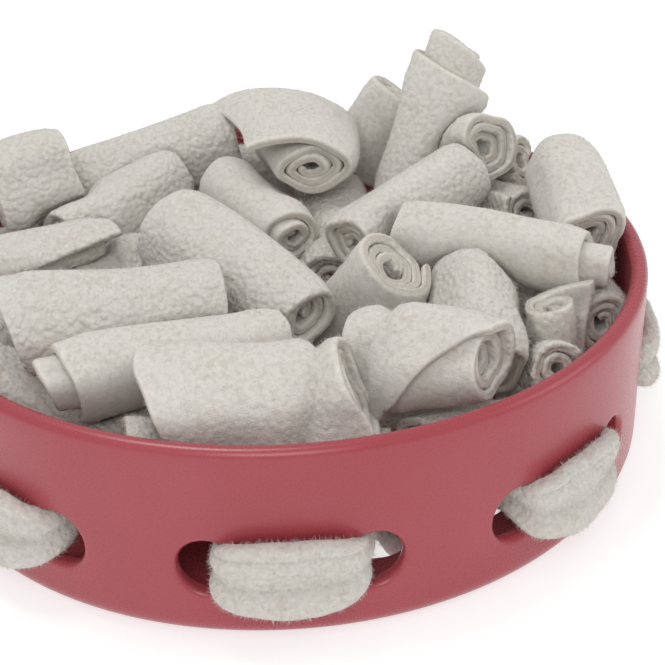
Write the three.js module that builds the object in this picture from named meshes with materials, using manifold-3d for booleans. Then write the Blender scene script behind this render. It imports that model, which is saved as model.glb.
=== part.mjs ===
// A round plastic bowl whose wall and floor are threaded with fleece strips.
// Each strip passes out through one hole and back in through the next one,
// and both of its ends lie in the bowl as loose fleece rolls.
// Millimetres, +Z up, origin on the table under the middle of the bowl.

import * as THREE from "three";
import { mergeVertices } from "three/addons/utils/BufferGeometryUtils.js";
import Module from "manifold-3d";

const wasm = await Module();
wasm.setup();

// Driving dimensions of the bowl
const RIM_RADIUS = 115;
const BOWL_HEIGHT = 61.4;
const FOOT_RADIUS = 113.3;
const FOOT_CORNER = 6.7;
const WALL = 4.3;
const LIP_RADIUS = 2.7;
const FLOOR_TOP = 10;
const FLOOR_THICKNESS = 2.5;
const FOOT_RING_WIDTH = 4;
const BOWL_SEGMENTS = 54;

// Holes, one pair for each strip
const WALL_PAIRS = 8;
const PAIR_HALF_ANGLE = 11.25;
const WALL_HOLE_RADIUS = 8.5;
const WALL_HOLE_HEIGHT = 23.6;
const WALL_HOLE_ROUNDING = 1.9;
const FLOOR_HOLE_RADIUS = 10.2;
const FLOOR_HOLE_SPREAD = 16.6;
const HOLE_SIDES = 12;

// Rings of hole pairs in the floor, from the middle of a pair to the bowl's axis
const FLOOR_RINGS = [
  // pairs, out, turn
  [8, 83.7, 27.25],
  [3, 38.6, 10],
];

// Fleece
const FIT_GAP = 0.3;
const SHEET = 3;
const ROLL_SIDES = 12;
const EDGE_ANGLE = 0.16;
const BAND_SIDES = 8;

// Finishes
const PLASTIC = { color: 0xb0606b, roughness: 0.3, metalness: 0 };
const FLEECE = { color: 0xcdc8bf, roughness: 0.95, metalness: 0 };

// One row for each rolled end, topmost first: the two ends of its axis, the outer radius at
// each end, height over width of its section, where its outer edge lies (degrees, 90 is under
// the roll), and how far its core stands out of (or, below zero, sinks into) each end.
const ROLLS = [
  // ax, ay, az, bx, by, bz, ra, rb, flat, edge, coreA, coreB
  [41, 52, 52, 59, 66, 94, 13, 15, 0.9, 40, -3, 10],
  [7, 80, 68, 10, 32, 74, 17.5, 12, 0.64, 210, -3, -2],
  [-97, 37, 66, -70, 48, 70, 15, 15.5, 1, 80, -3, -3],
  [20, -3, 62, 63, 40, 69, 12, 12, 1, 60, -3, -4],
  [35, -3, 68, 93, -22, 64, 10.5, 10.5, 1, 30, -3, 8],
  [-36, 15, 64, 8, -39, 56, 14, 12, 1, 80, -3, -5],
  [-78, -48, 65, -18, -37, 63, 14.5, 13.5, 1, 80, -3, -3],
  [-33, -84, 58, 22, -84, 58, 17, 16.5, 1, 70, -4, -4],
  [21, -64, 54, 59, -78, 63, 17.5, 11, 0.95, 190, -4, -5],
  [-60, -73, 61, 0, -50, 57, 11, 10, 1, 100, 6, -3],
  [95, 40, 68, 98, -5, 62, 14, 13, 1, 90, -3, -3],
  [57, 58, 68, 72, 42, 75, 12, 13.5, 1, 150, -3, -4],
  [14, -8, 34, 34, -26, 69, 13, 13, 1, 30, -3, -4],
  [-20, 57, 60, 3, 16, 57, 12, 11.5, 1, 30, -3, -5],
  [-72, 60, 54, -22, 79, 67, 12.5, 13, 1, 90, -3, -3],
  [-101, 2, 58, -58, 17, 60, 9.5, 9, 0.8, 200, -3, -3],
  [58, -14, 58, 61, -58, 46, 13.5, 13.5, 1, 90, -3, -3],
  [-74, 26, 54, -37, 60, 62, 11.5, 11.5, 1, 70, -3, -3],
  [28, 86, 68, 44, 90, 78, 13, 13, 1, 90, -3, -3],
  [84, -44, 24, 80, -38, 60, 9.5, 9.5, 1, 180, -3, -3],
  [-46, -86, 46, 12, -86, 34, 10, 10, 1, 160, -3, -3],
  [-78, 14, 48, -42, 18, 48, 11.5, 11, 1, 70, -3, -3],
  [98, -32, 46, 94, 30, 38, 10.5, 11, 1, 130, -3, -3],
  [79, -62, 50, 70, -30, 28, 8, 9, 1, 200, -3, -3],
  [-94, -32, 50, -84, 22, 36, 12, 12, 1, 10, -3, -3],
  [-94, -38, 44, -50, -60, 34, 12, 12, 1, 80, -3, -3],
  [-62, -74, 30, -6, -44, 30, 13, 13, 1, 140, -3, -3],
  [34, -80, 36, 76, -58, 26, 11, 10, 1, 220, -3, -3],
  [84, 32, 54, 60, 74, 44, 11, 11, 1, 310, -3, -3],
  [86, 60, 63, 54, 86, 46, 9.5, 10, 1, 20, -3, -3],
  [18, 64, 48, 16, 8, 42, 13, 13, 1, 190, -3, -3],
  [-30, 62, 42, -8, 8, 26, 12, 13, 1, 240, -3, -3],
  [-88, 46, 46, -56, 82, 46, 11, 11, 1, 170, -3, -3],
  [-44, 90, 46, 14, 94, 44, 11, 11, 1, 60, -3, -3],
  [60, 30, 38, 86, -6, 42, 13, 12, 1, 110, -3, -3],
  [-70, -12, 38, -18, -12, 36, 15, 14, 1, 350, -3, -3],
  [-2, -50, 36, 50, -36, 32, 13, 13, 1, 150, -3, -3],
  [-82, 44, 26, -34, 40, 24, 12, 12, 1, 260, -3, -3],
];

// Half of a wall band, from its middle to its inner end. Angle is measured from the band's
// middle, out from the bowl's axis, half_t and half_h are half of thickness and height.
const WALL_BAND = [
  // angle, out, up, half_t, half_h
  [0, 117.3, -0.6, 2.5, 12],
  [6.8, 117.3, -0.4, 2.5, 11],
  [8.9, 115.9, 0, 2.6, 8],
  [9.7, 112.2, 0, 3.1, 5.4],
  [10, 107.6, 0.6, 3.1, 5.4],
];

// Half of a floor band in the same way. Side is measured along the band from its middle, and
// up from the floor's top.
const FLOOR_BAND = [
  // side, up, half_t, half_h
  [0, -5.3, 2.2, 11],
  [9.2, -5.1, 2.2, 9],
  [12.2, -2.6, 2.3, 7],
  [13, 0.4, 2.6, 6.4],
  [13, 3.4, 2.6, 6.4],
];

const degrees = THREE.MathUtils.degToRad;
const vector = (x, y, z) => new THREE.Vector3(x, y, z);

// Solids
function toSolid(geometry) {
  const bare = geometry.clone();
  bare.deleteAttribute("normal");
  bare.deleteAttribute("uv");
  const merged = mergeVertices(bare, 1e-4);
  return new wasm.Manifold(new wasm.Mesh({
    numProp: 3,
    vertProperties: merged.attributes.position.array,
    triVerts: Uint32Array.from(merged.index.array),
  }));
}

function toGeometry(solid) {
  const mesh = solid.getMesh();
  const geometry = new THREE.BufferGeometry();
  geometry.setAttribute("position", new THREE.BufferAttribute(mesh.vertProperties, 3));
  geometry.setIndex(new THREE.BufferAttribute(mesh.triVerts, 1));
  geometry.computeVertexNormals();
  return geometry;
}

// A closed body through a list of rings: a cylinder whose rows are laid on the rings in turn.
// A ring has a centre, two directions across it, and a point for each angle round it.
function loft(rings, sides) {
  const geometry = new THREE.CylinderGeometry(1, 1, 1, sides, rings.length - 1);
  const position = geometry.attributes.position;
  for (let i = 0; i < position.count; i += 1) {
    const row = Math.round((0.5 - position.getY(i)) * (rings.length - 1));
    const reach = Math.hypot(position.getX(i), position.getZ(i));
    const side = Math.round(Math.atan2(position.getX(i), position.getZ(i)) / (2 * Math.PI) * sides);
    const ring = rings[row];
    const [across, along] = reach < 0.5 ? [0, 0] : ring.point((side + sides) % sides);
    const place = ring.centre.clone();
    place.addScaledVector(ring.first, across).addScaledVector(ring.second, along);
    position.setXYZ(i, place.x, place.y, place.z);
  }
  return geometry;
}

// The bowl
function bowlProfile(inset) {
  const innerRim = RIM_RADIUS - 2 * LIP_RADIUS - inset;
  const innerFoot = FOOT_RADIUS - WALL - inset;
  const lipHeight = BOWL_HEIGHT - LIP_RADIUS;
  const floor = FLOOR_TOP + inset;
  const underside = FLOOR_TOP - FLOOR_THICKNESS;
  const ringInner = FOOT_RADIUS - FOOT_CORNER - FOOT_RING_WIDTH;
  const outline = new THREE.Path();
  outline.moveTo(0, underside);
  outline.lineTo(ringInner - 1.5, underside);
  outline.lineTo(ringInner, 0);
  outline.lineTo(FOOT_RADIUS - FOOT_CORNER, 0);
  outline.absarc(FOOT_RADIUS - FOOT_CORNER, FOOT_CORNER, FOOT_CORNER, -Math.PI / 2, 0, false);
  outline.lineTo(RIM_RADIUS + inset, lipHeight);
  outline.absarc(RIM_RADIUS - LIP_RADIUS, lipHeight, LIP_RADIUS + inset, 0, Math.PI, false);
  outline.lineTo(innerFoot, floor + FOOT_CORNER);
  outline.absarc(innerFoot - FOOT_CORNER, floor + FOOT_CORNER, FOOT_CORNER, 0, -Math.PI / 2, true);
  outline.lineTo(0, floor);
  const points = outline.getPoints(2);
  return points.filter((point, i) => i === 0 || point.distanceTo(points[i - 1]) > 0.01);
}

function bowlBody(inset) {
  const geometry = new THREE.LatheGeometry(bowlProfile(inset), BOWL_SEGMENTS);
  geometry.rotateX(Math.PI / 2);
  return toSolid(geometry);
}

function wallHole(angle) {
  const wallRadius = FOOT_RADIUS + (RIM_RADIUS - FOOT_RADIUS) * WALL_HOLE_HEIGHT / BOWL_HEIGHT;
  const start = wallRadius - WALL_HOLE_ROUNDING;
  const outline = new THREE.Path();
  outline.moveTo(0, wallRadius - 3 * WALL);
  outline.lineTo(WALL_HOLE_RADIUS, wallRadius - 3 * WALL);
  outline.lineTo(WALL_HOLE_RADIUS, start);
  outline.quadraticCurveTo(WALL_HOLE_RADIUS, wallRadius,
    WALL_HOLE_RADIUS + WALL_HOLE_ROUNDING, wallRadius + 0.2);
  outline.lineTo(0, wallRadius + 1);
  const geometry = new THREE.LatheGeometry(outline.getPoints(2), HOLE_SIDES);
  geometry.rotateX(Math.PI);
  geometry.translate(0, 0, WALL_HOLE_HEIGHT);
  geometry.rotateZ(angle);
  return toSolid(geometry);
}

function floorHole(side, out, turn) {
  const geometry = new THREE.CylinderGeometry(
    FLOOR_HOLE_RADIUS, FLOOR_HOLE_RADIUS, 4 * FLOOR_THICKNESS, HOLE_SIDES);
  geometry.rotateX(Math.PI / 2);
  geometry.translate(side * FLOOR_HOLE_SPREAD, -out, FLOOR_TOP - FLOOR_THICKNESS / 2);
  geometry.rotateZ(turn);
  return toSolid(geometry);
}

function floorPairs() {
  return FLOOR_RINGS.flatMap(([pairs, out, turn]) => Array.from({ length: pairs }, (_, i) => (
    { out, turn: degrees(turn) + i * 2 * Math.PI / pairs })));
}

function buildBowl() {
  let solid = bowlBody(0);
  for (const side of [-1, 1]) {
    for (let i = 0; i < WALL_PAIRS; i += 1) {
      solid = solid.subtract(wallHole(i * 2 * Math.PI / WALL_PAIRS + side * degrees(PAIR_HALF_ANGLE)));
    }
    for (const { out, turn } of floorPairs()) {
      solid = solid.subtract(floorHole(side, out, turn));
    }
  }
  return solid;
}

// The bands, where a strip crosses the bridge between its two holes
function roundedSection(halfWide, halfHigh) {
  const squared = (value) => Math.sign(value) * Math.sqrt(Math.abs(value));
  return (side) => {
    const angle = 2 * Math.PI * side / BAND_SIDES;
    return [halfWide * squared(Math.cos(angle)), halfHigh * squared(Math.sin(angle))];
  };
}

function bandBody(stations, upright, grow) {
  const rings = stations.map((station, i) => {
    const before = stations[Math.max(i - 1, 0)].centre;
    const after = stations[Math.min(i + 1, stations.length - 1)].centre;
    const along = after.clone().sub(before).normalize();
    return {
      centre: station.centre,
      first: along.clone().cross(upright).normalize(),
      second: upright,
      point: roundedSection(station.halfT + grow, station.halfH + grow),
    };
  });
  return toSolid(loft(rings, BAND_SIDES));
}

function mirrored(rows) {
  const mirror = rows.slice(1).reverse().map(([first, ...rest]) => [-first, ...rest]);
  return [...mirror, ...rows];
}

function wallBand(turn, grow) {
  const stations = mirrored(WALL_BAND).map(([angle, out, up, halfT, halfH]) => {
    const a = turn + degrees(angle);
    return { centre: vector(out * Math.sin(a), -out * Math.cos(a), WALL_HOLE_HEIGHT + up), halfT, halfH };
  });
  return bandBody(stations, vector(0, 0, 1), grow);
}

function floorBand({ out, turn }, grow) {
  const radial = vector(Math.sin(turn), -Math.cos(turn), 0);
  const sideways = vector(Math.cos(turn), Math.sin(turn), 0);
  const stations = mirrored(FLOOR_BAND).map(([side, up, halfT, halfH]) => {
    const centre = radial.clone().multiplyScalar(out).addScaledVector(sideways, side);
    return { centre: centre.setZ(FLOOR_TOP + up), halfT, halfH };
  });
  return bandBody(stations, radial, grow);
}

// A rolled end: a spiral outline whose outer edge is a step one sheet high, with a core that
// stands out or sinks in at each end.
function rollBody([ax, ay, az, bx, by, bz, ra, rb, flat, edge, coreA, coreB], grow) {
  const start = vector(ax, ay, az);
  const along = vector(bx, by, bz).sub(start);
  const length = along.length();
  along.normalize();
  const across = vector(-along.y, along.x, 0).normalize();
  const down = along.clone().cross(across).multiplyScalar(-1);
  const [outA, outB] = grow > 0 ? [Math.max(coreA, 0), Math.max(coreB, 0)] : [coreA, coreB];
  const stops = [
    // place along the axis, share of the radius
    [-outA - grow, 0.42],
    [-grow, 0.5],
    [-grow, 1],
    [length / 2, 1.03],
    [length + grow, 1],
    [length + grow, 0.5],
    [length + outB + grow, 0.42],
  ];
  const rings = stops.map(([place, share]) => {
    const radius = (ra + (rb - ra) * place / length) * share;
    return {
      centre: start.clone().addScaledVector(along, place),
      first: across,
      second: down,
      point: (side) => {
        const last = side === ROLL_SIDES - 1;
        const turned = last ? 2 * Math.PI - EDGE_ANGLE : 2 * Math.PI * side / (ROLL_SIDES - 1);
        const reach = radius - SHEET * share * turned / (2 * Math.PI) + SHEET * share / 2 + grow;
        const angle = turned + degrees(edge);
        return [reach * Math.cos(angle) / Math.sqrt(flat), reach * Math.sin(angle) * Math.sqrt(flat)];
      },
    };
  });
  return toSolid(loft(rings, ROLL_SIDES));
}

// The whole part
function named(name, solid, finish) {
  const mesh = new THREE.Mesh(toGeometry(solid), new THREE.MeshStandardMaterial(finish));
  mesh.name = name;
  return mesh;
}

function buildSnuffleBowl() {
  const group = new THREE.Group();
  group.add(named("bowl", buildBowl(), PLASTIC));

  let taken = bowlBody(FIT_GAP);
  for (let i = 0; i < WALL_PAIRS; i += 1) {
    const turn = i * 2 * Math.PI / WALL_PAIRS;
    group.add(named(`wall_band_${i + 1}`, wallBand(turn, 0), FLEECE));
    taken = taken.add(wallBand(turn, FIT_GAP));
  }
  floorPairs().forEach((pair, i) => {
    group.add(named(`floor_band_${i + 1}`, floorBand(pair, 0), FLEECE));
    taken = taken.add(floorBand(pair, FIT_GAP));
  });

  ROLLS.forEach((row, i) => {
    const solid = rollBody(row, 0).subtract(taken);
    group.add(named(`roll_${String(i + 1).padStart(2, "0")}`, solid, FLEECE));
    taken = taken.add(rollBody(row, FIT_GAP));
  });
  return group;
}

export default buildSnuffleBowl();
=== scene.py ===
"""A snuffle bowl: fleece strips threaded through a plastic bowl, their rolled ends heaped inside."""

import logging
import math
from dataclasses import dataclass
from enum import Enum
from typing import Any, Callable, ClassVar, List, Mapping, Optional, Sequence, Tuple

import bmesh
import bpy
import numpy as np
from mathutils import Matrix, Vector
from mathutils.bvhtree import BVHTree
from mathutils.geometry import tessellate_polygon


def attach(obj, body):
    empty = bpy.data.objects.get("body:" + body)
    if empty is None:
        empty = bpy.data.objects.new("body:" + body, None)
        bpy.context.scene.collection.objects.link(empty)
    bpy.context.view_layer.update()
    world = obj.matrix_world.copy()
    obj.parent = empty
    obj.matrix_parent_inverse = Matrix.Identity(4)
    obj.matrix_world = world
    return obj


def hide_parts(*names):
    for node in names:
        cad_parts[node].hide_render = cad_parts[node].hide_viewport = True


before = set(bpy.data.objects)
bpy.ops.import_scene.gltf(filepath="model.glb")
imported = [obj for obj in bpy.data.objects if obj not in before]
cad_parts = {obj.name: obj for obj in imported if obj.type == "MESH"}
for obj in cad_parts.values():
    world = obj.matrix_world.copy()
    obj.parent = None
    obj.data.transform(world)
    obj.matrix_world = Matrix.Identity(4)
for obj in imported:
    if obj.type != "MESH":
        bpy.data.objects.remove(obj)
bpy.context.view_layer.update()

LOG = logging.getLogger("snuffle_bowl")
METRES_PER_MM = 0.001
BODY = "root"
SEED = 17
NOISE_ROUGHNESS = 0.55

# Sizes of the bowl and its strips that several classes share, in millimetres.
RIM_RADIUS = 115.0
BOWL_HEIGHT = 61.4
FOOT_RADIUS = 113.3
FOOT_CORNER = 6.7
WALL = 4.3
LIP_RADIUS = 2.7
FLOOR_TOP = 10.0
FLOOR_THICKNESS = 2.5
FOOT_RING_WIDTH = 4.0
HOLE_HEIGHT = 23.6
HOLE_RADIUS = 8.5
HOLE_COUNT = 16
FLOOR_HOLE_RADIUS = 10.2
FLOOR_HOLE_SPREAD = 16.6
STRIP_WIDTH = 54.0

# Each ring of floor pairs: how many, how far out, and the first one's turn in degrees.
FLOOR_RINGS = ((8, 83.7, 27.25), (3, 38.6, 10.0))

# A number, a colour, or the Socket that gives it.
Link = Any


class Holding(Enum):
    """How a sheet of cloth is held."""

    FOLDED = "folded"
    GATHERED = "gathered"


class Slot(Enum):
    """The two finishes."""

    PLASTIC = "plastic"
    FLEECE = "fleece"


class Pattern(Enum):
    """The noise patterns that the finishes read."""

    PATCHES = 1.0
    FLECKS = 2.0
    SOFT = 3.0
    FIBRES = 4.0
    CLOUD = 5.0
    RIPPLE = 6.0
    SCUFF = 7.0


class Profile(Enum):
    """The columns of a cut border's table, after the distance from it."""

    THICKNESS = 1
    CUT = 2
    CORE = 3


class Socket:
    """An output socket that takes part in Python expressions."""

    def __init__(self, tree: "NodeTree", socket: bpy.types.NodeSocket) -> None:
        """Keeps a socket and its tree.

        Args:
            tree: the tree that new nodes go into.
            socket: the output socket that this value stands for.
        """
        self.tree = tree
        self.socket = socket

    def _math(self, operation: str, first: Link, second: Link) -> "Socket":
        """Adds a Math node.

        Args:
            operation: the node's operation.
            first: the first value or socket.
            second: the second value or socket.

        Returns:
            The node's result.
        """
        return self.tree.make("ShaderNodeMath", {"operation": operation}, {0: first, 1: second})

    def __add__(self, other: Link) -> "Socket":
        """This plus other."""
        return self._math("ADD", self, other)

    def __radd__(self, other: Link) -> "Socket":
        """Other plus this."""
        return self._math("ADD", other, self)

    def __sub__(self, other: Link) -> "Socket":
        """This minus other."""
        return self._math("SUBTRACT", self, other)

    def __rsub__(self, other: Link) -> "Socket":
        """Other minus this."""
        return self._math("SUBTRACT", other, self)

    def __mul__(self, other: Link) -> "Socket":
        """This times other."""
        return self._math("MULTIPLY", self, other)

    def __rmul__(self, other: Link) -> "Socket":
        """Other times this."""
        return self._math("MULTIPLY", other, self)

    def between(self, low: float, high: float) -> "Socket":
        """Maps low..high to 0..1, smoothly and clamped.

        Args:
            low: the value that gives 0.
            high: the value that gives 1.

        Returns:
            The mapped value.
        """
        return self.tree.make(
            "ShaderNodeMapRange",
            {"interpolation_type": "SMOOTHSTEP"},
            {"Value": self, "From Min": low, "From Max": high},
        )

    def output(self, name: str) -> "Socket":
        """Another output of the same node."""
        return Socket(self.tree, self.socket.node.outputs[name])


class NodeTree:
    """A node tree whose nodes all come from one method."""

    def __init__(self, tree: bpy.types.NodeTree) -> None:
        """Empties a tree and keeps it.

        Args:
            tree: the tree to fill.
        """
        self.tree = tree
        tree.nodes.clear()

    def make(
        self,
        kind: str,
        settings: Optional[Mapping[str, Any]] = None,
        values: Optional[Mapping[Any, Link]] = None,
        output: Any = 0,
    ) -> Optional[Socket]:
        """Makes a node, its settings first and then its inputs.

        Args:
            kind: the node's type.
            settings: its properties, where stops is a ramp's list of place and grey or colour.
            values: a value or a Socket for each input, by name or number.
            output: the output to return, by name or number.

        Returns:
            The chosen output, or None for a node with no outputs.
        """
        node = self.tree.nodes.new(kind)
        for name, value in (settings or {}).items():
            if name == "stops":
                self._set_stops(node.color_ramp, value)
            else:
                setattr(node, name, value)
        for key, value in (values or {}).items():
            if isinstance(value, Socket):
                self.tree.links.new(value.socket, node.inputs[key])
            else:
                node.inputs[key].default_value = value
        return Socket(self, node.outputs[output]) if len(node.outputs) else None

    def _set_stops(self, ramp: bpy.types.ColorRamp, stops: Sequence[Tuple[float, Any]]) -> None:
        """Fills a colour ramp.

        Args:
            ramp: the ramp to fill.
            stops: each stop's place and its grey or colour.
        """
        while len(ramp.elements) < len(stops):
            ramp.elements.new(1.0)
        for element, (place, shade) in zip(ramp.elements, stops):
            element.position = place
            colour = (shade,) * 3 if isinstance(shade, (int, float)) else shade
            element.color = (*colour, 1.0)

    def noise(self, where: Socket, pattern: Pattern, scale: float, detail: float = 2.0) -> Socket:
        """Noise of one scale, about 0 to 1.

        Args:
            where: the coordinates.
            pattern: which noise it is.
            scale: features for each metre.
            detail: octaves.

        Returns:
            The noise's value.
        """
        values = {"Vector": where, "W": pattern.value, "Scale": scale, "Detail": detail}
        values["Roughness"] = NOISE_ROUGHNESS
        return self.make("ShaderNodeTexNoise", {"noise_dimensions": "4D"}, values)

    def mix(self, share: Link, first: Link, second: Link) -> Socket:
        """Mixes two colours.

        Args:
            share: how much of the second.
            first: a colour or socket.
            second: a colour or socket.

        Returns:
            The mixed colour.
        """
        values = {0: share, 6: first, 7: second}
        colours = {k: (*v, 1.0) if isinstance(v, tuple) else v for k, v in values.items()}
        return self.make("ShaderNodeMix", {"data_type": "RGBA"}, colours, output=2)

    def bump(self, height: Link, strength: float) -> Socket:
        """A normal bent by a height in metres.

        Args:
            height: the height.
            strength: how much of it shows.

        Returns:
            The normal.
        """
        values = {"Strength": strength, "Distance": 1.0, "Height": height}
        return self.make("ShaderNodeBump", None, values)

    def attribute(self, name: str) -> Socket:
        """A vertex attribute's value."""
        return self.make("ShaderNodeAttribute", {"attribute_name": name}, output="Fac")


@dataclass(frozen=True)
class Fleece:
    """Matt greige fleece: one side pebbled with painted shade in the valleys between its pebbles, the
    other smooth, with lighter lines along cut borders.
    """

    name: str = "fleece"
    # Colours.
    light: Tuple[float, float, float] = (0.67, 0.645, 0.595)
    warm: Tuple[float, float, float] = (0.565, 0.525, 0.465)
    cool: Tuple[float, float, float] = (0.595, 0.58, 0.55)
    cut_line: Tuple[float, float, float] = (0.76, 0.73, 0.67)
    cut_core: Tuple[float, float, float] = (0.42, 0.375, 0.31)
    # Grain: features for each metre, and depths in metres.
    pebble_per_metre: float = 560.0
    pebble_depth: float = 0.0008
    smooth_depth: float = 0.00035
    fibre_per_metre: float = 2400.0
    fibre_depth: float = 0.0004
    patch_per_metre: float = 95.0
    fleck_per_metre: float = 900.0
    # The part of each noise that is used, and how much each colour shows.
    patch_range: Tuple[float, float] = (0.35, 0.65)
    light_range: Tuple[float, float] = (0.30, 0.62)
    fleck_range: Tuple[float, float] = (0.54, 0.74)
    valley_range: Tuple[float, float] = (0.40, 1.05)
    valley_soft: float = 0.5
    # Painted shade: how far the valleys between the pebbles are darkened towards the tone.
    painted_valley_shade: float = 0.5
    fleck_share: float = 0.25
    cut_share: float = 0.45
    core_share: float = 0.8
    # The surface's sheen and bump.
    roughness: float = 0.95
    bump_strength: float = 0.8
    specular: float = 0.12
    sheen: float = 0.30
    sheen_roughness: float = 0.6
    sheen_tint: Tuple[float, float, float, float] = (1.0, 0.98, 0.95, 1.0)

    def build(self) -> bpy.types.Material:
        """Makes the material.

        Returns:
            The fleece, which reads Object coordinates and the cut, core and nub attributes.
        """
        material = bpy.data.materials.new(self.name)
        material.use_nodes = True
        tree = NodeTree(material.node_tree)
        where = tree.make("ShaderNodeTexCoord", output="Object")
        nub = tree.attribute("nub")
        patches = tree.noise(where, Pattern.PATCHES, self.patch_per_metre, detail=3.0)
        flecks = tree.noise(where, Pattern.FLECKS, self.fleck_per_metre)
        soft = tree.noise(where, Pattern.SOFT, self.pebble_per_metre, detail=1.5)
        fibres = tree.noise(where, Pattern.FIBRES, self.fibre_per_metre)
        cells = tree.make(
            "ShaderNodeTexVoronoi",
            {"voronoi_dimensions": "3D", "feature": "SMOOTH_F1"},
            {"Vector": where, "Scale": self.pebble_per_metre, "Smoothness": 1.0, "Randomness": 1.0},
        )
        valleys = (cells + soft * self.valley_soft).between(*self.valley_range)
        tone = tree.mix(patches.between(*self.patch_range), self.warm, self.cool)
        mottled = tree.mix(soft.between(*self.light_range), tone, self.light)
        # Painted shade: on the pebbled side the valleys between pebbles are darkened towards the tone.
        valley_shaded = tree.mix(valleys * nub * self.painted_valley_shade, mottled, tone)
        specked = tree.mix(flecks.between(*self.fleck_range) * self.fleck_share, valley_shaded, self.warm)
        lined = tree.mix(tree.attribute("cut") * self.cut_share, specked, self.cut_line)
        cored = tree.mix(tree.attribute("core") * self.core_share, lined, self.cut_core)
        pebbles = (1.0 - valleys) * nub * self.pebble_depth
        height = pebbles + soft * self.smooth_depth + fibres * self.fibre_depth
        shader = tree.make(
            "ShaderNodeBsdfPrincipled",
            None,
            {
                "Base Color": cored,
                "Roughness": self.roughness,
                "Specular IOR Level": self.specular,
                "Sheen Weight": self.sheen,
                "Sheen Roughness": self.sheen_roughness,
                "Sheen Tint": self.sheen_tint,
                "Normal": tree.bump(height, self.bump_strength),
            },
        )
        tree.make("ShaderNodeOutputMaterial", None, {"Surface": shader})
        return material


@dataclass(frozen=True)
class SatinPlastic:
    """Satin moulded plastic in dusty rose, with a faint ripple from the mould."""

    name: str = "satin_plastic"
    colour: Tuple[float, float, float] = (0.34, 0.047, 0.061)
    worn: Tuple[float, float, float] = (0.36, 0.056, 0.072)
    roughness: float = 0.27
    cloud_per_metre: float = 22.0
    cloud_range: Tuple[float, float] = (0.3, 0.7)
    ripple_per_metre: float = 260.0
    ripple_depth: float = 0.000012
    scuff_per_metre: float = 1500.0
    scuff_range: Tuple[float, float] = (0.4, 0.75)
    scuff_roughness: float = 0.04
    bump_strength: float = 0.6
    specular: float = 0.5

    def build(self) -> bpy.types.Material:
        """Makes the material.

        Returns:
            The plastic material.
        """
        material = bpy.data.materials.new(self.name)
        material.use_nodes = True
        tree = NodeTree(material.node_tree)
        where = tree.make("ShaderNodeTexCoord", output="Object")
        cloud = tree.noise(where, Pattern.CLOUD, self.cloud_per_metre)
        ripple = tree.noise(where, Pattern.RIPPLE, self.ripple_per_metre)
        scuff = tree.noise(where, Pattern.SCUFF, self.scuff_per_metre)
        dull = scuff.between(*self.scuff_range) * self.scuff_roughness
        shader = tree.make(
            "ShaderNodeBsdfPrincipled",
            None,
            {
                "Base Color": tree.mix(cloud.between(*self.cloud_range), self.colour, self.worn),
                "Roughness": self.roughness + dull,
                "Specular IOR Level": self.specular,
                "Normal": tree.bump(ripple * self.ripple_depth, self.bump_strength),
            },
        )
        tree.make("ShaderNodeOutputMaterial", None, {"Surface": shader})
        return material


class Ripples:
    """Seeded smooth unevenness: a sum of sine waves in two directions."""

    # How fast the waves' size grows with their length.
    GROWTH = 0.6

    def __init__(self, seed: int, shortest: float, longest: float, waves: int = 7) -> None:
        """Draws the waves.

        Args:
            seed: picks the pattern.
            shortest: the shortest wavelength, in the units that at() is given.
            longest: the longest wavelength.
            waves: how many waves are added.
        """
        random = np.random.default_rng(SEED * 1000 + seed)
        lengths = np.exp(random.uniform(math.log(shortest), math.log(longest), waves))
        angles = random.uniform(0, math.tau, waves)
        self.first = np.cos(angles) * math.tau / lengths
        self.second = np.sin(angles) * math.tau / lengths
        self.phase = random.uniform(0, math.tau, waves)
        self.size = (lengths / longest) ** self.GROWTH
        self.size /= math.sqrt(float((self.size**2).sum()))

    def at(self, first: np.ndarray, second: np.ndarray) -> np.ndarray:
        """Reads the pattern.

        Args:
            first: places along the first direction.
            second: places along the second direction.

        Returns:
            Values that are mostly between -1 and 1.
        """
        first, second = np.broadcast_arrays(first, second)
        waves = first[..., None] * self.first + second[..., None] * self.second + self.phase
        return (np.sin(waves) * self.size).sum(-1)


def unit(vectors: np.ndarray) -> np.ndarray:
    """Vectors of the same direction and length 1."""
    return vectors / np.maximum(np.linalg.norm(vectors, axis=-1, keepdims=True), 1e-9)


def smoothstep(low: float, high: float, value: np.ndarray) -> np.ndarray:
    """0 below low, 1 above high, smooth between."""
    share = np.clip((np.asarray(value, float) - low) / (high - low), 0, 1)
    return share * share * (3 - 2 * share)


def add_object(name: str, data: Any) -> bpy.types.Object:
    """Makes an object of a mesh, a lamp or a camera and puts it into the scene.

    Args:
        name: the object's name.
        data: what it shows.

    Returns:
        The object, at the origin.
    """
    piece = bpy.data.objects.new(name, data)
    bpy.context.scene.collection.objects.link(piece)
    return piece


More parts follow.
